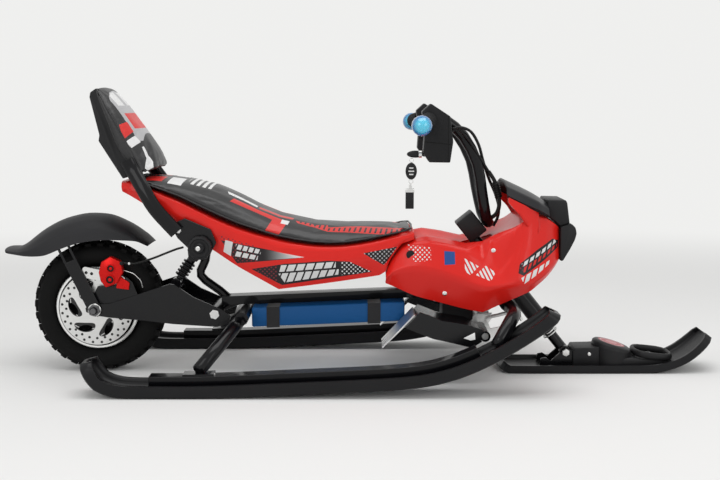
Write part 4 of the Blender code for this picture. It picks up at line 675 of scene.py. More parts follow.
# %% Cowl prints
front_band = [
    (3114, 2185), (3222, 2131), (3676, 2418), (3989, 2633), (4004, 2758), (3844, 2811),
    (3495, 2615), (3146, 2365),
]
add_prints(red_cowl, [
    (print_white, "dots", None, [(924, 2722), (1394, 2696), (1397, 2432), (1070, 2405)]),
    (print_blue, "plain", None, [(1655, 2620), (1863, 2607), (1866, 2369), (1657, 2356)]),
    (print_white, (0.0082, -0.5, 0.58), None,
     [(2052, 2482), (2333, 2323), (2161, 2164), (2055, 2235)]),
    (print_white, (0.0082, -0.5, 0.58), None,
     [(2473, 2332), (2667, 2199), (2565, 2040), (2266, 2164)]),
    (print_black, "plain", None, front_band),
    (print_rose, "dots", None, [(3146, 2365), (3114, 2185), (3300, 2300), (3330, 2490)]),
    (print_white, (0.0105, 0.3, 0.66), None,
     [(3180, 2365), (3205, 2305), (3950, 2740), (3900, 2790)]),
    (print_red, (0.0085, 0.3, 0.55), None,
     [(3190, 2270), (3225, 2190), (3970, 2655), (3960, 2710)]),
    (print_white, (0.012, 0.3, 0.7), None,
     [(3170, 2090), (3226, 1970), (3506, 2135), (3767, 2321), (3783, 2400)]),
])

# %% [markdown]
# The cushion's prints run along its sides and over its crown, so most of them keep to a range of
# width, measured outwards from the middle of the saddle.

# %% Cushion prints
front_strip = [
    [(-1331, 3194), (-1255, 3117), (-644, 2963), (-644, 3067)],
    [(-644, 3067), (-644, 2963), (45, 2936), (887, 2905), (1000, 2963), (963, 3052), (45, 3040)],
]
inner_strip = [
    [(-1300, 3176), (-1235, 3126), (-644, 2977), (-644, 3053)],
    [(-644, 3053), (-644, 2977), (45, 2950), (880, 2919), (975, 2963), (955, 3038), (45, 3026)],
]
rear_red_band = (0.018, 0.075)
rear_white_band = (0.018, 0.08)
crown_band = (0.0, 0.06)
line_band = (0.03, 0.044)
flank_band = (0.055, 0.12)
strip_band = (0.045, 0.12)
add_prints(seat_vinyl, [
    (print_red, "plain", rear_red_band,
     [(-4253, 4050), (-3871, 4050), (-3969, 3886), (-4198, 3894)]),
    (print_white, "plain", rear_white_band,
     [(-3767, 4050), (-3470, 4050), (-3540, 3871), (-3814, 3887)]),
    (print_white, (0.013, 0.4, 0.55), crown_band,
     [(-3425, 4050), (-2905, 3960), (-2966, 3800), (-3426, 3900)]),
    (print_white, "plain", line_band, [(-2804, 3900), (-1962, 3540), (-2078, 3410), (-2577, 3631)]),
    (print_red, "plain", line_band, [(-1904, 3500), (-1269, 3220), (-1424, 3138), (-2040, 3399)]),
    (print_red, "plain", flank_band, [(-2483, 3637), (-1428, 3169), (-1493, 3085), (-2575, 3573)]),
    (print_red, "plain", flank_band, [(-1749, 3196), (-1421, 3181), (-1658, 2853), (-1899, 2975)]),
    (print_white, "plain", flank_band,
     [(-1560, 3190), (-1400, 3160), (-1440, 3100), (-1580, 3130)]),
    *[(print_red, "plain", strip_band, strip) for strip in front_strip],
    *[(print_black, "plain", strip_band, strip) for strip in inner_strip],
    *[(print_red, (0.0105, 0.5, 0.62), strip_band, strip) for strip in inner_strip],
])

# %% [markdown]
# The backrest has a pale middle panel with a white and a red block, and three marks near each edge.

# %% Backrest prints
panel_band = (0.0, 0.062)
offset_band = (0.012, 0.05)
middle_band = (0.0, 0.05)
edge_band = (0.06, 0.12)
add_prints(pad_vinyl, [
    (print_grey, "plain", panel_band,
     [(-5150, 5900), (-4700, 5100), (-4540, 4760), (-4300, 4760), (-4400, 5900)]),
    (print_white, "plain", offset_band,
     [(-5000, 5800), (-4900, 5450), (-4300, 5450), (-4300, 5800)]),
    (print_red, "plain", middle_band, [(-4800, 5300), (-4700, 5000), (-4200, 5000), (-4200, 5300)]),
    (print_red, "plain", edge_band, [(-4711, 5079), (-4617, 4793), (-4405, 5011), (-4510, 5174)]),
    (print_white, "plain", edge_band, [(-4577, 4752), (-4471, 4629), (-4331, 4738), (-4444, 4861)]),
    (print_white, "plain", edge_band, [(-4305, 4640), (-4208, 4420), (-4130, 4475), (-4242, 4674)]),
    (print_white, "plain", edge_band,
     [(-4208, 4420), (-4227, 4227), (-4173, 4186), (-4081, 4241), (-4130, 4475)]),
])

# %% [markdown]
# ## Drilled brake disc
#
# The disc is ground steel with two staggered rows of small holes and six windows. Forty-four real
# holes would cost thousands of faces for marks a few millimetres wide, so a polar pattern darkens
# and dents the steel where each hole is. The pattern turns with the wheel.

# %% Drilled steel
axle = Vector((-0.5365, 0, 0.135))
# Each row's radius, its number of holes, and its shift in shares of a hole's step
drilled_rows = ((0.0695, 24, 0.0), (0.0610, 24, 0.5))
drill_radius = 0.0026
window_count = 6
window_row = 0.0445
window_spacing_row = 0.0465
window_half_length = 0.0208
window_half_height = 0.0108
window_slant = 0.42
rib_range = (0.0030, 0.0046)
rib_share = 0.86
hole_colour = (0.006, 0.006, 0.006)


def polar(tree, centre):
    """The distance from the axle, and the angle about it."""
    arm = vector_node(tree, "SUBTRACT", object_place(tree), tuple(centre))
    arm = vector_node(tree, "MULTIPLY", arm, (1, 0, 1))
    axes = split_axes(tree, arm)
    turn = math_node(tree, "ARCTAN2", axes["Z"], axes["X"])
    return vector_node(tree, "LENGTH", arm), turn


def round_row(tree, turn, count, shift, radius):
    """How far round from the nearest of the places in a row, measured along the row."""
    cell = math_node(tree, "ADD", product(tree, turn, count / (2 * math.pi)), shift)
    offset = math_node(tree, "SUBTRACT", math_node(tree, "FRACT", cell), 0.5)
    return product(tree, offset, 2 * math.pi * radius / count)


def drill_mask(tree, reach, turn):
    """1 in each drilled hole of the disc."""
    mask = 0.0
    for radius, count, shift in drilled_rows:
        sideways = math_node(tree, "POWER", round_row(tree, turn, count, shift, radius), 2.0)
        outward = math_node(tree, "POWER", math_node(tree, "SUBTRACT", reach, radius), 2.0)
        square = math_node(tree, "ADD", sideways, outward)
        hole = math_node(tree, "LESS_THAN", square, drill_radius ** 2)
        mask = math_node(tree, "MAXIMUM", mask, hole)
    return mask


def window_mask(tree, reach, turn):
    """1 in the disc's slanted windows, apart from the thin rib that shows inside each."""
    sideways = round_row(tree, turn, window_count, 0.5, window_spacing_row)
    outward = math_node(tree, "SUBTRACT", reach, window_row)
    outward = math_node(tree, "ADD", outward, product(tree, sideways, window_slant))
    wide = math_node(tree, "POWER", math_node(tree, "DIVIDE", sideways, window_half_length), 2.0)
    tall = math_node(tree, "POWER", math_node(tree, "DIVIDE", outward, window_half_height), 2.0)
    square = math_node(tree, "ADD", wide, tall)
    inner = math_node(tree, "LESS_THAN", square, rib_share)
    rib = product(tree, between(tree, outward, *rib_range), inner)
    return product(tree, math_node(tree, "LESS_THAN", square, 1.0), inverse(tree, rib))


tree, rotor_shader, steel_colour, steel_normal = skin_sockets(rotor_steel)
reach, turn = polar(tree, axle)
holes = math_node(tree, "MAXIMUM", drill_mask(tree, reach, turn), window_mask(tree, reach, turn))
metal = inverse(tree, holes)
tree.links.new(mixed(tree, holes, steel_colour, hole_colour), rotor_shader.inputs["Base Color"])
tree.links.new(metal, rotor_shader.inputs["Metallic"])
tree.links.new(bump_node(tree, metal, 1.0, 0.001, steel_normal), rotor_shader.inputs["Normal"])
print("holes in the disc:", sum(count for _, count, _ in drilled_rows))

# %% [markdown]
# ## Housing seam
#
# Each switch housing is two moulded halves. Cutting the solid in two would only show a hairline,
# so a dark dented line in the material stands for the joint, and another for the cover's edge.

# %% Housing seam
seam_slope = 0.10
seam_range = (0.4880, 0.4896)
cover_range = (0.1690, 0.1702)
seam_depth = 0.0012
tree, housing_shader, plain_colour, plain_normal = skin_sockets(housing_moulding)
axes = split_axes(tree, object_place(tree))
level = math_node(tree, "ADD", axes["Z"], product(tree, axes["X"], seam_slope))
cover = between(tree, axes["X"], *cover_range)
line = math_node(tree, "MAXIMUM", between(tree, level, *seam_range), cover)
seam_colour = mixed(tree, line, plain_colour, (0.002, 0.002, 0.002))
seam_normal = bump_node(tree, inverse(tree, line), 1.0, seam_depth, plain_normal)
tree.links.new(seam_colour, housing_shader.inputs["Base Color"])
tree.links.new(seam_normal, housing_shader.inputs["Normal"])
print("seam drawn on", housing_moulding.name)

# %% [markdown]
# ## Reel label
#
# The reel's lid has a round label. It is drawn in the reel's own material as a plain rose disc
# with a pale ring, by the distance from the reel's middle, so that it can't stand off the lid.

# %% Reel label
reel_centre = Vector((0.52434, 0, 0))
# Each band's inner and outer radius, and its tint; -1 starts it at the middle
label_bands = (
    (-1.0, 0.0270, (0.40, 0.10, 0.11)), (0.0215, 0.0235, (0.60, 0.45, 0.45)),
    (-1.0, 0.0120, (0.50, 0.24, 0.25)),
)
tree, reel_shader, reel_colour, _ = skin_sockets(reel_moulding)
arm = vector_node(tree, "SUBTRACT", object_place(tree), tuple(reel_centre))
reach = vector_node(tree, "LENGTH", vector_node(tree, "MULTIPLY", arm, (1, 1, 0)))
for inner, outer, tint in label_bands:
    reel_colour = mixed(tree, between(tree, reach, inner, outer), reel_colour, tint)
tree.links.new(reel_colour, reel_shader.inputs["Base Color"])
print("bands on the reel's label:", len(label_bands))

# %% [markdown]
# ## From solid to finished piece
#
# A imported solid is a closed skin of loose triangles. To finish one, the script copies it, merges
# the doubled corners, joins the triangles back into flat faces, and then either bevels its edges,
# as a cut or folded piece has, or subdivides it, as a moulded shell has. The copy takes the
# solid's place in the picture.

# %% Piece helpers
weld_distance = 0.00002
join_deg = 40.0


def add_piece(name, bm, material, body, smooth_deg=35.0):
    """A finished mesh object that rides on a body of the machine."""
    mesh = bpy.data.meshes.new(name)
    bm.to_mesh(mesh)
    bm.free()
    return add_mesh_piece(name, mesh, material, body, smooth_deg)


def add_mesh_piece(name, mesh, material, body, smooth_deg=35.0):
    mesh.shade_smooth()
    mesh.set_sharp_from_angle(angle=math.radians(smooth_deg))
    mesh.materials.clear()
    mesh.materials.append(material)
    made = bpy.data.objects.new(name, mesh)
    link(made)
    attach(made, body)
    return made


def merged_copy(node, flatten_deg=1.0):
    """The node's skin with shared corners, its triangles joined where they are flat."""
    bm = bmesh.new()
    bm.from_mesh(nodes[node].data)
    bmesh.ops.remove_doubles(bm, verts=bm.verts, dist=weld_distance)
    limit = math.radians(join_deg)
    bmesh.ops.join_triangles(
        bm, faces=bm.faces[:], angle_face_threshold=limit, angle_shape_threshold=limit
    )
    if flatten_deg:
        bmesh.ops.dissolve_limit(
            bm, angle_limit=math.radians(flatten_deg), verts=bm.verts[:], edges=bm.edges[:],
            use_dissolve_boundaries=False,
        )
    return bm


def body_of(node):
    return nodes[node]["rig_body"]


def limited(value):
    return min(1.0, max(0.0, value))


def dress(node, material, slot, bevel=0.0, segments=2, sharp_deg=35.0, bevel_deg=35.0):
    """A solid's copy with its sharper edges rounded, in place of the solid."""
    bm = merged_copy(node)
    made = add_piece(node + "_finished", bm, material, body_of(node), sharp_deg)
    if bevel:
        step = made.modifiers.new("rounded_edges", "BEVEL")
        step.width = bevel
        step.segments = segments
        step.limit_method = "ANGLE"
        step.angle_limit = math.radians(bevel_deg)
        step.harden_normals = False
    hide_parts(node)
    return made


def dress_shell(node, material, soft_deg=7.0, hard_deg=29.0, levels=2, sharp_deg=50.0):
    """A moulded shell's copy, subdivided. The steeper a fold is, the crisper it stays."""
    bm = merged_copy(node, 0.0)
    layer = bm.edges.layers.float.get("crease_edge") or bm.edges.layers.float.new("crease_edge")
    for edge in bm.edges:
        fold = math.degrees(edge.calc_face_angle(math.pi))
        edge[layer] = limited((fold - soft_deg) / (hard_deg - soft_deg))
    made = add_piece(node + "_finished", bm, material, body_of(node), sharp_deg)
    step = made.modifiers.new("smooth_skin", "SUBSURF")
    step.levels = step.render_levels = levels
    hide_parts(node)
    return made


# %% [markdown]
# ## Bevelled and folded pieces
#
# Tubes, plates, boxes and turned parts keep their solid's form and only lose their knife edges.
# One table holds them all by finish: each piece's bevel, and where they differ from the usual the
# bevel's segments, the angle that stays sharp and the angle from which an edge is bevelled. A star
# stands for the right and the left piece.

# %% Bevelled and folded pieces
bevelled = (
    (tube_paint, "black_paint", {
        "runner_rail_*": (0.0012,), "backrest_arm_*": (0.0, 2, 60),
        "main_frame": (0.0010, 2, 50, 60), "rear_leg_bridge": (0.0, 2, 60),
        "front_leg_bridge": (0.0, 2, 60), "steering_column": (0.0006, 2, 50),
        "handlebar": (0.0, 2, 70),
    }),
    (powder_coat, "black_paint", {
        "saddle_bracket_*": (0.0012,), "fender_stay_*": (0.0008,), "foot_plate_*": (0.0006,),
        "swing_arm": (0.0010,), "shock_absorber": (0.0, 2, 50), "ski_bracket": (0.0008,),
        "wheel_hub": (0.0008, 2, 45),
    }),
    (controller_coat, "black_paint", {"controller_box": (0.0010,)}),
    (ground_steel, "bright_steel", {"brake_claw_*": (0.0003,), "foot_brake_shaft": (0.0005,)}),
    (plated_steel, "bright_steel", {"swing_pivot_bolt": (0.0007,)}),
    (dark_steel, "bright_steel", {"rear_axle": (0.0006,)}),
    (rotor_steel, "bright_steel", {"brake_rotor": (0.0003,)}),
    (housing_moulding, "black_plastic", {"bar_housing_*": (0.0016, 3)}),
    (black_moulding, "black_plastic", {
        "seat_pan": (0.0060, 3), "stem_cover": (0.0010,), "lamp_housing": (0.0010,),
        "nose_cover": (0.0020, 3), "reel_handle": (0.0, 2, 80),
    }),
    (reel_moulding, "black_plastic", {"rope_reel": (0.0015, 3)}),
    (cable_jacket, "black_plastic", {"control_cable": (0.0, 2, 80)}),
    (anodised_red, "red_paint", {"brake_caliper": (0.0010,)}),
    (battery_film, "blue_wrap", {"battery_pack": (0.0012,)}),
    (strap_webbing, "webbing", {"battery_strap_rear": (0.0004,), "battery_strap_front": (0.0004,)}),
    (blue_acrylic, "blue_clear", {"grip_end_*": (0.0, 2, 80)}),
    (tyre_rubber, "tyre_rubber", {"tyre": (0.0006, 2, 40, 50)}),
)
for material, slot, pieces in bevelled:
    for name, values in pieces.items():
        for side in ("right", "left") if "*" in name else ("",):
            dress(name.replace("*", side), material, slot, *values)

# %% [markdown]
# ## Backrest form
#
# The real backrest is a thin shell whose back leans forward and whose top corners are round. The
# solid is a plain block of the same height. One function moves any point of the solid to its
# place on the real form, so that the shell, the pad and the piping all follow the same lines.

# %% Backrest form
lean_forward = Vector((0.92, 0, 0.39)).normalized()
lean_up = Vector((-0.39, 0, 0.92)).normalized()
back_start, back_run = 0.215, 0.075
rise_start, rise_run = 0.60, 0.10
crown_start, crown_run = 0.665, 0.075
back_draw = 0.017
rise_taper, crown_taper = 0.20, 0.24
corner_drop = 0.006
pad_half_width = 0.086


def slimmer_backrest(place):
    """Draws the back forward and its upper edge in, and rounds its top corners."""
    depth = limited((-place.dot(lean_forward) - back_start) / back_run)
    rise = limited((place.dot(lean_up) - rise_start) / rise_run)
    rise = rise * rise * (3 - 2 * rise)
    crown = limited((place.dot(lean_up) - crown_start) / crown_run)
    moved = Vector(place) + lean_forward * back_draw * depth
    moved.y *= (1 - rise_taper * depth * depth * rise) * (1 - crown_taper * crown * crown)
    moved.z -= corner_drop * crown * (moved.y / pad_half_width) ** 2
    return moved


# %% [markdown]
# ## Moulded shells
#
# Cowl, saddle base, windshield, fender and skis are moulded plastic: soft curves with a few crisp
# folds. Subdivision gives both, because each edge keeps a crease that grows with its fold.

# %% Moulded shells
cowl = dress_shell("front_cowl", red_cowl)
dress_shell("seat_base", red_base)
dress_shell("windshield", satin_visor)
backrest_shell = dress_shell("backrest_shell", black_moulding, 74.0, 75.0)
for vert in backrest_shell.data.vertices:
    vert.co = slimmer_backrest(vert.co)
dress_shell("rear_fender", fender_moulding, hard_deg=50.0)
dress_shell("front_ski", ski_moulding)
for side in ("right", "left"):
    dress_shell("runner_ski_" + side, ski_moulding, levels=1)
print("backrest drawn forward by", back_draw)

# %% [markdown]
# ## Windshield gasket
#
# The windshield sits in a dark rubber lip. A copy of its own skin, slightly smaller and lower,
# shows as a thin dark line along its edge, and follows that edge everywhere.

# %% Windshield gasket
gasket_scale = (0.985, 0.970, 0.985)
gasket_drop = Vector((0, 0, -0.0034))
gasket_bm = merged_copy("windshield", 0.0)
low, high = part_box("windshield")
gasket_middle = (Vector(low) + Vector(high)) / 2
bmesh.ops.translate(gasket_bm, verts=gasket_bm.verts, vec=-gasket_middle)
bmesh.ops.scale(gasket_bm, verts=gasket_bm.verts, vec=gasket_scale)
bmesh.ops.translate(gasket_bm, verts=gasket_bm.verts, vec=gasket_middle + gasket_drop)
gasket = add_piece("windshield_gasket", gasket_bm, plug_rubber, "chassis")
print("gasket faces:", len(gasket.data.polygons))

# %% [markdown]
# ## Padded seat and backrest
#
# The saddle and the backrest are foam under vinyl. A block with rounded edges looks hard, so a
# slightly smaller copy is remeshed finely, blown up from inside as cloth for twenty steps with
# no gravity, and held where it rests on its shell. No point may move further than the cap, so
# the swollen form keeps to the space of its solid. Piping then covers the seams.

# %% Cloth helpers
cloth_steps = 20
cloth_pressure = 4.0
voxel_size = 0.0045
held_share = 0.6


def settled_mesh(holder):
    """The object's mesh as its modifiers leave it."""
    graph = bpy.context.evaluated_depsgraph_get()
    return bpy.data.meshes.new_from_object(holder.evaluated_get(graph))


def dense_copy(node, shrink, held):
    """The node's skin, drawn in except where it is held, in even small faces."""
    bm = merged_copy(node, 0.0)
    bm.normal_update()
    inward = [(vert, vert.normal.copy()) for vert in bm.verts]
    for vert, normal in inward:
        if not held(normal):
            vert.co -= normal * shrink
    mesh = bpy.data.meshes.new(node + "_work")
    bm.to_mesh(mesh)
    bm.free()
    holder = bpy.data.objects.new(node + "_work", mesh)
    link(holder)
    step = holder.modifiers.new("voxels", "REMESH")
    step.mode = "VOXEL"
    step.voxel_size = voxel_size
    dense = settled_mesh(holder)
    bpy.data.objects.remove(holder)
    return dense


def swell(mesh, held, cap):
    """Blows the mesh up as cloth, and keeps each point within the cap."""
    holder = bpy.data.objects.new("cloth_work", mesh)
    link(holder)
    group = holder.vertex_groups.new(name="held")
    group.add([vert.index for vert in mesh.vertices if held(vert.normal)], 1.0, "REPLACE")
    cloth = holder.modifiers.new("swell", "CLOTH")
    cloth.settings.use_pressure = True
    cloth.settings.uniform_pressure_force = cloth_pressure
    cloth.settings.vertex_group_mass = "held"
    cloth.settings.effector_weights.gravity = 0.0
    cloth.collision_settings.use_collision = False
    for number in range(1, cloth_steps + 1):
        bpy.context.scene.frame_set(number)
    moved = settled_mesh(holder)
    furthest = 0.0
    for vert, end in zip(mesh.vertices, moved.vertices):
        shift = end.co - vert.co
        furthest = max(furthest, shift.length)
        if shift.length > cap:
            shift *= cap / shift.length
        vert.co += shift
    print(mesh.name, "wanted to move", round(furthest * 1000, 1), "mm, cap", cap * 1000)
    bpy.context.scene.frame_set(1)
    bpy.data.objects.remove(holder)
    bpy.data.meshes.remove(moved)


def padded_piece(node, material, held, shrink, cap):
    mesh = dense_copy(node, shrink, held)
    swell(mesh, held, cap)
    made = add_mesh_piece(node + "_finished", mesh, material, body_of(node), 180.0)
    step = made.modifiers.new("soft_skin", "SUBSURF")
    step.levels = step.render_levels = 1
    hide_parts(node)
    return made


# %% Cushion and pad


def rests_below(normal):
    return -normal.z > held_share


def rests_behind(normal):
    return -normal.dot(lean_forward) > held_share


padded_piece("seat_cushion", seat_vinyl, rests_below, shrink=0.0015, cap=0.005)
pad = padded_piece(
    "backrest_pad", pad_vinyl, rests_behind, shrink=0.003, cap=0.006
)
for vert in pad.data.vertices:
    vert.co = slimmer_backrest(vert.co)
print("points on the pad:", len(pad.data.vertices))

# %% [markdown]
# ## Round runs: piping, cables and rods
#
# Piping, brake cable and electric leads are all one thing: a round section carried along a
# smooth line. A curve with a round bevel does it in one step. It is made a mesh at once, so that
# each run is a plain piece like the others. Every run starts and ends in something.

# %% Run helpers


def smooth_run(points, steps=6, closed=False):
    """A smooth line through the points."""
    places = [Vector(point) for point in points]
    count = len(places)
    if count < 3:
        return places
    line = []
    for k in range(count if closed else count - 1):
        if closed:
            a, b, c, d = (places[(k + shift) % count] for shift in (-1, 0, 1, 2))
        else:
            a, b = places[max(k - 1, 0)], places[k]
            c, d = places[k + 1], places[min(k + 2, count - 1)]
        for step in range(steps):
            t = step / steps
            line.append(0.5 * (
                2 * b + (c - a) * t + (2 * a - 5 * b + 4 * c - d) * t * t
                + (3 * b - a - 3 * c + d) * t * t * t
            ))
    if not closed:
        line.append(places[-1])
    return line


def round_run(name, points, radius, material, body, closed=False, steps=6):
    shape = bpy.data.curves.new(name, "CURVE")
    shape.dimensions = "3D"
    shape.bevel_depth = radius
    shape.bevel_resolution = 2
    shape.use_fill_caps = True
    line = smooth_run(points, steps, closed)
    run = shape.splines.new("POLY")
    run.points.add(len(line) - 1)
    for point, place in zip(run.points, line):
        point.co = (*place, 1)
    run.use_cyclic_u = closed
    holder = bpy.data.objects.new(name, shape)
    mesh = bpy.data.meshes.new_from_object(holder)
    bpy.data.objects.remove(holder)
    return add_mesh_piece(name, mesh, material, body, 60.0)


# %% [markdown]
# The cushion's piping follows the lowest edge of its side, found from the solid's own corners, so
# it can't drift from the cushion.

# %% Cushion piping
piping_radius = 0.0019
piping_inset = 0.0018
same_height = 0.0004
stations = {}
for vert in nodes["seat_cushion"].data.vertices:
    stations.setdefault(round(vert.co.x, 4), []).append(vert.co.copy())
side_line = []
for x in sorted(stations):
    widest = max(abs(place.y) for place in stations[x])
    low = min(place.z for place in stations[x] if abs(place.y) > widest - same_height)
    side_line.append(Vector((x, -widest + piping_inset, low)))
mirrored_line = [Vector((place.x, -place.y, place.z)) for place in reversed(side_line)]
round_run(
    "cushion_piping", side_line + mirrored_line, piping_radius, piping_vinyl, "chassis",
    True, 2,
)
print("cushion piping points:", len(side_line))

# %% [markdown]
# The backrest's piping runs round each side face of the pad. The side's corners are put in order
# by their angle about its middle, and then take the backrest's form.

# %% Backrest piping
pad_side = 0.0855
pad_piping_side = 0.0835
pad_piping_radius = 0.0018
rim = [vert.co.copy() for vert in nodes["backrest_pad"].data.vertices if vert.co.y < -pad_side]
middle = sum(rim, Vector()) / len(rim)
unique = {(round(place.x, 4), round(place.z, 4)): place for place in rim}
around = sorted(
    unique.values(), key=lambda place: math.atan2(place.z - middle.z, place.x - middle.x)
)
for side, name in ((-1, "right"), (1, "left")):
    loop = [place.lerp(middle, 0.05) for place in around]
    loop = [
        slimmer_backrest(Vector((place.x, side * pad_piping_side, place.z))) for place in loop
    ]
    round_run(
        "pad_piping_" + name, loop, pad_piping_radius, piping_vinyl, "chassis",
        True, 3,
    )
print("pad piping points:", len(around))

# %% [markdown]
# ## Brake cable, spring and leads
#
# A thin brake cable runs from the caliper up under the saddle, and the caliper's arm has a small
# return spring. Two leads come down from the switch housing into the main sleeve.

# %% Brake cable, springs and leads
round_run(
    "brake_cable",
    [(-0.4860, -0.0600, 0.2325), (-0.4628, -0.0620, 0.2310), (-0.4465, -0.0630, 0.2318),
     (-0.4153, -0.0670, 0.2418), (-0.3899, -0.0740, 0.2523), (-0.3644, -0.0860, 0.2631),
     (-0.3480, -0.1000, 0.2690)],
    0.0022, cable_jacket, "chassis",
)
round_run(
    "caliper_spring",
    [(-0.4760, -0.0560, 0.2160), (-0.4564, -0.0600, 0.2103), (-0.4483, -0.0600, 0.2032),
     (-0.4415, -0.0590, 0.1947), (-0.4390, -0.0540, 0.1800)],
    0.0009, plated_steel, "chassis",
)
round_run(
    "throttle_lead",
    [(0.2560, -0.0560, 0.4150), (0.2690, -0.0500, 0.3950), (0.2770, -0.0450, 0.3700),
     (0.2800, -0.0410, 0.3480), (0.2760, -0.0360, 0.3300), (0.2640, -0.0290, 0.3190),
     (0.2500, -0.0200, 0.3150)],
    0.0042, cable_jacket, "steering",
)
round_run(
    "housing_lead",
    [(0.1760, -0.0950, 0.4950), (0.1923, -0.0900, 0.4980), (0.2110, -0.0820, 0.4800),
     (0.2300, -0.0720, 0.4530), (0.2465, -0.0620, 0.4289), (0.2560, -0.0560, 0.4150)],
    0.0026, cable_jacket, "steering",
)
print("brake cable, spring and leads placed")

# %% [markdown]
# ## Turned and headed parts
#
# Bolts, nuts, rims and bosses are made on a lathe or a header. A closed outline of radius and
# height, spun once about its axis, gives every turned part. A hexagon head is a short six-sided
# cone with its edges bevelled.

# %% Turning helpers
sides = ((-1, "right"), (1, "left"))


def soften(bm, edges, offset, segments=2):
    """Rounds the given edges."""
    bmesh.ops.bevel(
        bm, geom=list(edges), offset=offset, segments=segments, profile=0.5, affect="EDGES",
        material=-1,
    )


def sized(place, size):
    """The matrix that puts a unit shape at a place, at a size."""
    return Matrix.Translation(place) @ Matrix.Diagonal((*size, 1))


def lathe(bm, outline, centre, axis, steps=32, closed=True):
    """Adds an outline of (radius, along) pairs, spun once about an axis."""
    axis = Vector(axis).normalized()
    side = axis.orthogonal().normalized()
    centre = Vector(centre)
    verts = [bm.verts.new(centre + side * radius + axis * along) for radius, along in outline]
    pairs = list(zip(verts, verts[1:])) + ([(verts[-1], verts[0])] if closed else [])
    edges = [bm.edges.new(pair) for pair in pairs]
    bmesh.ops.spin(
        bm, geom=verts + edges, cent=centre, axis=axis, angle=2 * math.pi, steps=steps,
        use_merge=True,
    )
    bmesh.ops.remove_doubles(bm, verts=bm.verts, dist=weld_distance)
    bmesh.ops.recalc_face_normals(bm, faces=bm.faces)


def hex_head(bm, place, axis, radius, height, corners=6, rounding=0.0005):
    """Adds a bolt head or nut that stands on a surface."""
    axis = Vector(axis).normalized()
    spin = axis.to_track_quat("Z", "Y").to_matrix().to_4x4()
    middle = Matrix.Translation(Vector(place) + axis * height / 2)
    made = bmesh.ops.create_cone(
        bm, cap_ends=True, segments=corners, radius1=radius, radius2=radius * 0.97, depth=height,
        matrix=middle @ spin,
    )
    soften(bm, {edge for vert in made["verts"] for edge in vert.link_edges}, rounding)


def round_head(bm, place, axis, radius, height, sunk=0.0005):
    """Adds a domed head, sunk a little into what it stands on."""
    outline = [
        (0, -sunk), (radius, -sunk), (radius, height * 0.45), (radius * 0.8, height * 0.85),
        (radius * 0.4, height), (0, height),
    ]
    lathe(bm, outline, place, axis, 20, False)


def cut_plate(bm, outline, near_y, far_y, rounding):
    """Adds a plate of an (x, z) outline between two widths, its edges rounded."""
    face = bm.faces.new([bm.verts.new((x, near_y, z)) for x, z in outline])
    for item in bmesh.ops.extrude_face_region(bm, geom=[face])["geom"]:
        if isinstance(item, bmesh.types.BMVert):
            item.co.y = far_y
    bmesh.ops.recalc_face_normals(bm, faces=bm.faces)
    soften(bm, bm.edges[:], rounding, 3)


def skin_reach(piece, x, z, side, start=0.4):
    """Where a line along the width first meets the piece, coming from outside."""
    seen = BVHTree.FromObject(piece, bpy.context.evaluated_depsgraph_get())
    return seen.ray_cast(Vector((x, side * start, z)), Vector((0, -side, 0)))[0]


# %% [markdown]
# ## Wheel rims
#
# Each side of the hub shows a bright rolled rim inside the tyre. It is turned from one outline, so
# it stays round however close the camera comes.

# %% Wheel rims
rim_outline = [
    (0.0775, 0.0322), (0.0775, 0.0350), (0.0790, 0.0366), (0.0828, 0.0366), (0.0845, 0.0350),
    (0.0845, 0.0322),
]
for side, name in sides:
    bm = bmesh.new()
    lathe(bm, rim_outline, axle, (0, side, 0), 64)
    add_piece("wheel_rim_" + name, bm, rim_steel, "rear_wheel")
print("rims turned:", len(sides))

# %% [markdown]
# ## Saddle knobs
#
# The saddle is held by round plastic knobs with eight grip notches. They are turned, and then the
# outer points are drawn in at eight angles, which leaves the knob round between its notches.

# %% Saddle knobs
knob_centre = Vector((-0.31305, 0, 0.2696))
knob_outline = [
    (0, 0.1054), (0.0212, 0.1054), (0.0236, 0.1070), (0.0240, 0.1100), (0.0240, 0.1160),
    (0.0228, 0.1190), (0.0190, 0.1202), (0.0172, 0.1188), (0.0112, 0.1182), (0.0096, 0.1232),
    (0.0080, 0.1250), (0, 0.1250),
]
knob_notches = 8
notched_from = 0.0180
notch_share = 0.055
for side, name in sides:
    bm = bmesh.new()
    lathe(bm, knob_outline, knob_centre, (0, side, 0), 64, False)
    for vert in bm.verts:
        arm = Vector((vert.co.x - knob_centre.x, 0, vert.co.z - knob_centre.z))
        if arm.length > notched_from:
            notch = max(0.0, math.cos(knob_notches * math.atan2(arm.z, arm.x))) ** 3
            vert.co -= arm * notch_share * notch
    node = "saddle_knob_" + name
    knob = add_piece(node + "_finished", bm, black_moulding, "chassis", 30.0)
    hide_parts(node)
print("notches on each knob:", knob_notches)

# %% [markdown]
# ## Fasteners of the frame
#
# Screws, rivets and nuts catch small bright lights that tell the eye how large the machine is.
# All plated ones share one mesh. The rivets on the cowl are placed by a ray, so they sit on its
# curved skin.

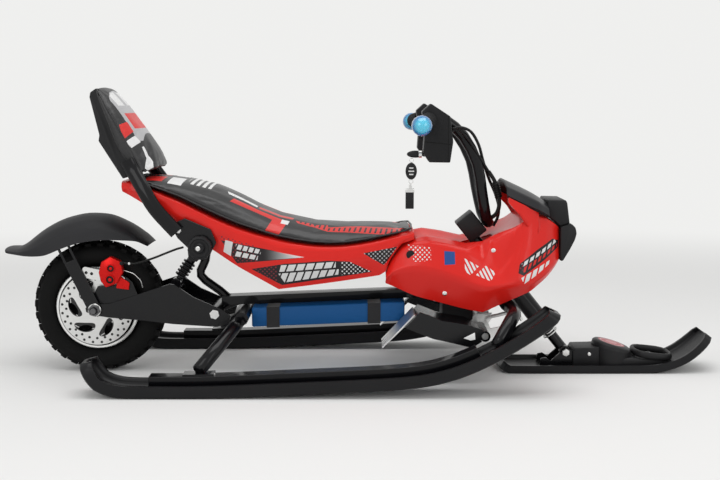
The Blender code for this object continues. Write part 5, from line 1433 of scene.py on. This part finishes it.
# %% Frame fasteners
axle_washer = [
    (0.0080, 0.0588), (0.0132, 0.0588), (0.0132, 0.0604), (0.0124, 0.0610), (0.0080, 0.0610),
]
rivet_places = ((0.2636, 0.2614), (0.1671, 0.1782))
fasteners = bmesh.new()
for side, _ in sides:
    across = (0, side, 0)
    round_head(fasteners, (-0.3149, side * 0.1252, 0.2696), across, 0.0048, 0.0028)
    round_head(fasteners, (-0.3549, side * 0.1049, 0.3022), across, 0.0050, 0.0026)
    for x in (-0.2790, -0.3300):
        hex_head(fasteners, (x, side * 0.2000, 0.0380), (0, 0, 1), 0.0052, 0.0040)
    lathe(fasteners, axle_washer, axle, across)
    for x, z in rivet_places:
        found = skin_reach(cowl, x, z, side)
        print("rivet on the cowl at", tuple(round(value, 4) for value in found))
        round_head(fasteners, found, across, 0.0046, 0.0018)
add_piece("frame_fasteners", fasteners, plated_steel, "chassis")

dark_nuts = bmesh.new()
for side, _ in sides:
    hex_head(dark_nuts, (axle.x, side * 0.0663, axle.z), (0, side, 0), 0.0088, 0.0040)
add_piece("axle_lock_nuts", dark_nuts, powder_coat, "chassis")

# %% [markdown]
# ## Caliper
#
# The red caliper carries two turned bosses with dark plugs, the end of the cable and a bright
# slotted plate behind it. A dark plate covers the wheel between the caliper and the swing arm,
# where that part of the wheel is dark.

# %% Brake caliper details
outboard = (0, -1, 0)
boss_places = ((-0.4996, 0.2213, 0.0082, 0.0066), (-0.5018, 0.1985, 0.0094, 0.0076))
boss_shares = (
    (0.8, -0.001), (1.04, -0.001), (1.04, 0.0022), (1, 0.0032), (0.86, 0.0032), (0.8, 0.0022),
)
bosses = bmesh.new()
plugs = bmesh.new()
for x, z, radius, plug_radius in boss_places:
    outline = [(radius * share, along) for share, along in boss_shares]
    lathe(bosses, outline, (x, -0.0650, z), outboard, 24)
    hex_head(bosses, (x, -0.0655, z), outboard, radius * 0.42, 0.0026, 6, 0.0003)
    hex_head(plugs, (x, -0.0645, z), outboard, plug_radius, 0.0016, 12, 0.0003)
add_piece("caliper_bosses", bosses, anodised_red, "chassis")
round_head(plugs, (-0.4782, -0.0620, 0.2313), outboard, 0.0042, 0.0050)
add_piece("caliper_plugs", plugs, plug_rubber, "chassis")
ferrule = bmesh.new()
round_head(ferrule, (-0.4628, -0.0635, 0.2310), outboard, 0.0030, 0.0022)
add_piece("cable_ferrule", ferrule, plated_steel, "chassis")
print("bosses:", len(boss_places))

# %% Caliper plate
plate_centre = Vector((-0.5410, -0.0541, 0.2090))
plate_size = (0.040, 0.0024, 0.022)
plate = bmesh.new()
plate_turn = Matrix.Translation(plate_centre) @ Matrix.Rotation(math.radians(12), 4, "Y")
bmesh.ops.create_cube(plate, size=1.0, matrix=plate_turn @ Matrix.Diagonal((*plate_size, 1)))
corners = [edge for edge in plate.edges if abs((edge.verts[0].co - edge.verts[1].co).y) > 0.001]
soften(plate, corners, 0.0060, 4)
add_piece("caliper_plate", plate, ground_steel, "chassis")
plate_holes = bmesh.new()
for shift in (-0.011, 0.000):
    place = plate_centre + Vector((shift, -0.0010, -0.2 * shift))
    hex_head(plate_holes, place, outboard, 0.0032, 0.0006, 12, 0.0001)
add_piece("caliper_plate_holes", plate_holes, plug_rubber, "chassis")
print("plate edges softened:", len(corners))

# %% Dark plate by the caliper
dark_plate_outline = [
    (-0.5320, 0.1467), (-0.5388, 0.1655), (-0.5301, 0.1832), (-0.4932, 0.1853),
    (-0.4709, 0.2013), (-0.4595, 0.1911), (-0.4526, 0.1723), (-0.4476, 0.1614), (-0.4944, 0.1467),
]
# A dark plate over the wheel between the caliper and the swing arm, where that part of the wheel is
# dark.
bracket = bmesh.new()
cut_plate(bracket, dark_plate_outline, -0.0532, -0.0508, 0.0004)
add_piece("wheel_dark_plate", bracket, powder_coat, "chassis")
print("bracket corners:", len(dark_plate_outline))

# %% [markdown]
# ## Cowl port and tray
#
# A rubber plug closes a round port in each side of the cowl. Behind the cowl's rear edge the real
# machine is dark, because its floor closes the space under the saddle: a thin dark tray does that,
# so that no light from the studio shows through.

# %% Cowl port
port_outline = [(0, -0.001), (0.0085, -0.001), (0.0085, 0.0010), (0.0070, 0.0018), (0, 0.0014)]
port = bmesh.new()
for side, _ in sides:
    found = skin_reach(cowl, 0.0997, 0.2534, side)
    lathe(port, port_outline, found, (0, side, 0), 28, False)
add_piece("cowl_ports", port, plug_rubber, "chassis")
print("port on the cowl at", tuple(round(value, 4) for value in found))

# %% Cowl tray
tray_centre = (0.0500, 0, 0.2520)
tray_size = (0.190, 0.160, 0.0040)
tray_rear_share = 0.80
tray = bmesh.new()
bmesh.ops.create_cube(tray, size=1.0, matrix=sized(tray_centre, tray_size))
for vert in tray.verts:
    if vert.co.x < 0:
        vert.co.y *= tray_rear_share
soften(tray, tray.edges[:], 0.0010)
add_piece("cowl_tray", tray, black_moulding, "chassis")
print("tray length:", tray_size[0])

# %% [markdown]
# ## Front ski's fittings
#
# The ski's pivot has nuts and small screws. The reel stands on a moulded cradle and against a
# block that it screws to, and two washers lie where the column enters the frame.

# %% Ski fasteners
ski_bolts = bmesh.new()
for side, _ in sides:
    hex_head(ski_bolts, (0.4242, side * 0.0285, 0.0400), (0, side, 0), 0.0080, 0.0045)
    round_head(ski_bolts, (0.4729, side * 0.0290, 0.0364), (0, side, 0), 0.0038, 0.0020)
    round_head(ski_bolts, (0.3876, side * 0.018, 0.0118), (0, 0, 1), 0.0040, 0.0030)
add_piece("ski_bolts", ski_bolts, plated_steel, "front_ski_body")
print("fastened the ski on", len(sides), "sides")

# %% Reel cradle and mount
cradle_centre = Vector((0.5900, 0, 0.0192))
cradle_size = (0.110, 0.076, 0.0216)
cradle_nose = 0.62
mount_half_width = 0.0290
mount_outline = [
    (0.4390, 0.0090), (0.4390, 0.0420), (0.4430, 0.0492), (0.4800, 0.0500), (0.4940, 0.0510),
    (0.4940, 0.0090),
]
cradle = bmesh.new()
bmesh.ops.create_cube(cradle, size=1.0, matrix=sized(cradle_centre, cradle_size))
for vert in cradle.verts:
    if vert.co.x > cradle_nose:
        vert.co.y *= 0.72
        vert.co.z -= 0.005 if vert.co.z > cradle_centre.z else 0.0
soften(cradle, cradle.edges[:], 0.0050, 3)
add_piece("reel_cradle", cradle, black_moulding, "front_ski_body")
mount = bmesh.new()
cut_plate(mount, mount_outline, -mount_half_width, mount_half_width, 0.0022)
add_piece("reel_mount", mount, black_moulding, "front_ski_body")
print("cradle length:", cradle_size[0])

# %% Column washers
column_foot = Vector((0.3970, 0, 0.0749))
column_axis = Vector((-0.6266, 0, 0.7793))
washers = bmesh.new()
for along, outer in ((0.0, 0.0172), (0.0052, 0.0150)):
    washer = [(0.0100, 0), (outer, 0), (outer, 0.0018), (0.0100, 0.0018)]
    lathe(washers, washer, column_foot + column_axis * along, column_axis)
add_piece("column_washers", washers, plated_steel, "steering")
print("washers at", tuple(round(value, 4) for value in column_foot))

# %% [markdown]
# ## Lamp lens
#
# The lamp's lens is a flat oval of clear plastic that stands a little out of its housing. A short
# cone, pressed oval and turned to the housing's face, gives it, with its rim bevelled.

# %% Lamp lens
lens_centre = Vector((0.4185, 0, 0.3300))
lens_size = (0.032, 0.0135, 0.005)
lens_normal = Vector((0.993, 0, 0.118)).normalized()
lens_turn = lens_normal.to_track_quat("Z", "Y").to_matrix().to_4x4()
lens_bm = bmesh.new()
bmesh.ops.create_cone(
    lens_bm, cap_ends=True, segments=36, radius1=1.0, radius2=0.94, depth=1.0,
    matrix=Matrix.Translation(lens_centre) @ lens_turn @ Matrix.Diagonal((*lens_size, 1)),
)
rim_edges = [
    edge for edge in lens_bm.edges if len(edge.link_faces) == 2 and edge.calc_face_angle() > 0.6
]
soften(lens_bm, rim_edges, 0.0010)
add_piece("lamp_lens", lens_bm, lamp_lens, "chassis")
print("rim edges on the lens:", len(rim_edges))

# %% [markdown]
# ## Ribbed grips and boot
#
# The grips and the boot over the cable joint are soft rubber with rings. Each is one outline
# with a tooth for every ring, spun about the run of the bar, so the rings are real and catch
# light from any side.

# %% Grips and boot
tooth_shares = (0.15, 0.33, 0.67, 0.85)
bar_bend = (0.1414, 0.086, 0.5228)
bar_end = (0.114, 0.200, 0.509)
grip_start, grip_end = 0.0436, 0.1003


def ringed(name, start, end, low, high, rings, material, body):
    """A rubber sleeve between two points, with rounded rings."""
    start, end = Vector(start), Vector(end)
    length = (end - start).length
    step = length / rings
    outline = [(0, 0), (low, 0)]
    for k in range(rings):
        for share, radius in zip(tooth_shares, (low, high, high, low)):
            outline.append((radius, (k + share) * step))
    outline += [(low, length), (0, length)]
    bm = bmesh.new()
    lathe(bm, outline, start, end - start, 24, False)
    return add_piece(name, bm, material, body, 50.0)


for side, name in sides:
    inner = Vector((bar_bend[0], side * bar_bend[1], bar_bend[2]))
    along = (Vector((bar_end[0], side * bar_end[1], bar_end[2])) - inner).normalized()
    sleeve = ringed(
        "grip_" + name + "_finished", inner + along * grip_start, inner + along * grip_end,
        0.0143, 0.0155, 12, grip_rubber, "steering",
    )
    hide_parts("grip_" + name)
ringed(
    "lead_boot", (0.2700, -0.0495, 0.3935), (0.2785, -0.0430, 0.3620), 0.0060, 0.0078, 7,
    cable_jacket, "steering",
)
print("grip length:", round(grip_end - grip_start, 4))

# %% [markdown]
# ## Ignition key
#
# The key stands in the right switch housing and carries an oval tag and a short strap on a ring.
# The ovals are spheres pressed flat, the strap and its end cap are small blocks with rounded
# edges, and the rings are turned. The tag carries three plain bars.

# %% Key
key_y = -0.1040
bars_y = -0.1068
tag_centre = (0.0995, 0.4190)


def oval(bm, centre, size):
    bmesh.ops.create_uvsphere(
        bm, u_segments=24, v_segments=12, radius=1.0, matrix=sized(centre, size)
    )


def block(bm, centre, size, rounding):
    made = bmesh.ops.create_cube(bm, size=1.0, matrix=sized(centre, size))
    soften(bm, {edge for vert in made["verts"] for edge in vert.link_edges}, rounding)


key_bm = bmesh.new()
oval(key_bm, (0.1072, key_y, 0.4520), (0.0165, 0.0042, 0.0070))
oval(key_bm, (tag_centre[0], key_y, tag_centre[1]), (0.0112, 0.0032, 0.0165))
block(key_bm, (0.0968, key_y, 0.3625), (0.0162, 0.0030, 0.0340), 0.0010)
key = add_piece("ignition_key_finished", key_bm, black_moulding, "steering")
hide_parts("ignition_key")
print("key faces:", len(key.data.polygons))

# %% Key fittings
steel_bm = bmesh.new()
collar = [(0.0058, 0), (0.0072, 0), (0.0072, 0.006), (0.0058, 0.006)]
lathe(steel_bm, collar, (0.1196, key_y, 0.4520), (-1, 0, 0), 24)
ring_radius, wire_radius = 0.0040, 0.0007
turns = [2 * math.pi * k / 8 for k in range(8)]
ring_line = [(ring_radius + wire_radius * math.cos(t), wire_radius * math.sin(t)) for t in turns]
for x, z in ((0.1000, 0.4400), (0.0990, 0.3990)):
    lathe(steel_bm, ring_line, (x, key_y, z), (0, 1, 0.2), 20)
for lift, width in ((0.0062, 0.0080), (0.0, 0.0110), (-0.0062, 0.0080)):
    place = (tag_centre[0], bars_y, tag_centre[1] + lift)
    block(steel_bm, place, (width, 0.0014, 0.0026), 0.0004)
block(steel_bm, (0.0980, key_y, 0.3905), (0.0060, 0.0034, 0.0110), 0.0008)
block(steel_bm, (0.0970, key_y, 0.3815), (0.0176, 0.0046, 0.0080), 0.0010)
fittings = add_piece("key_fittings", steel_bm, plated_steel, "steering")
print("fitting faces:", len(fittings.data.polygons))
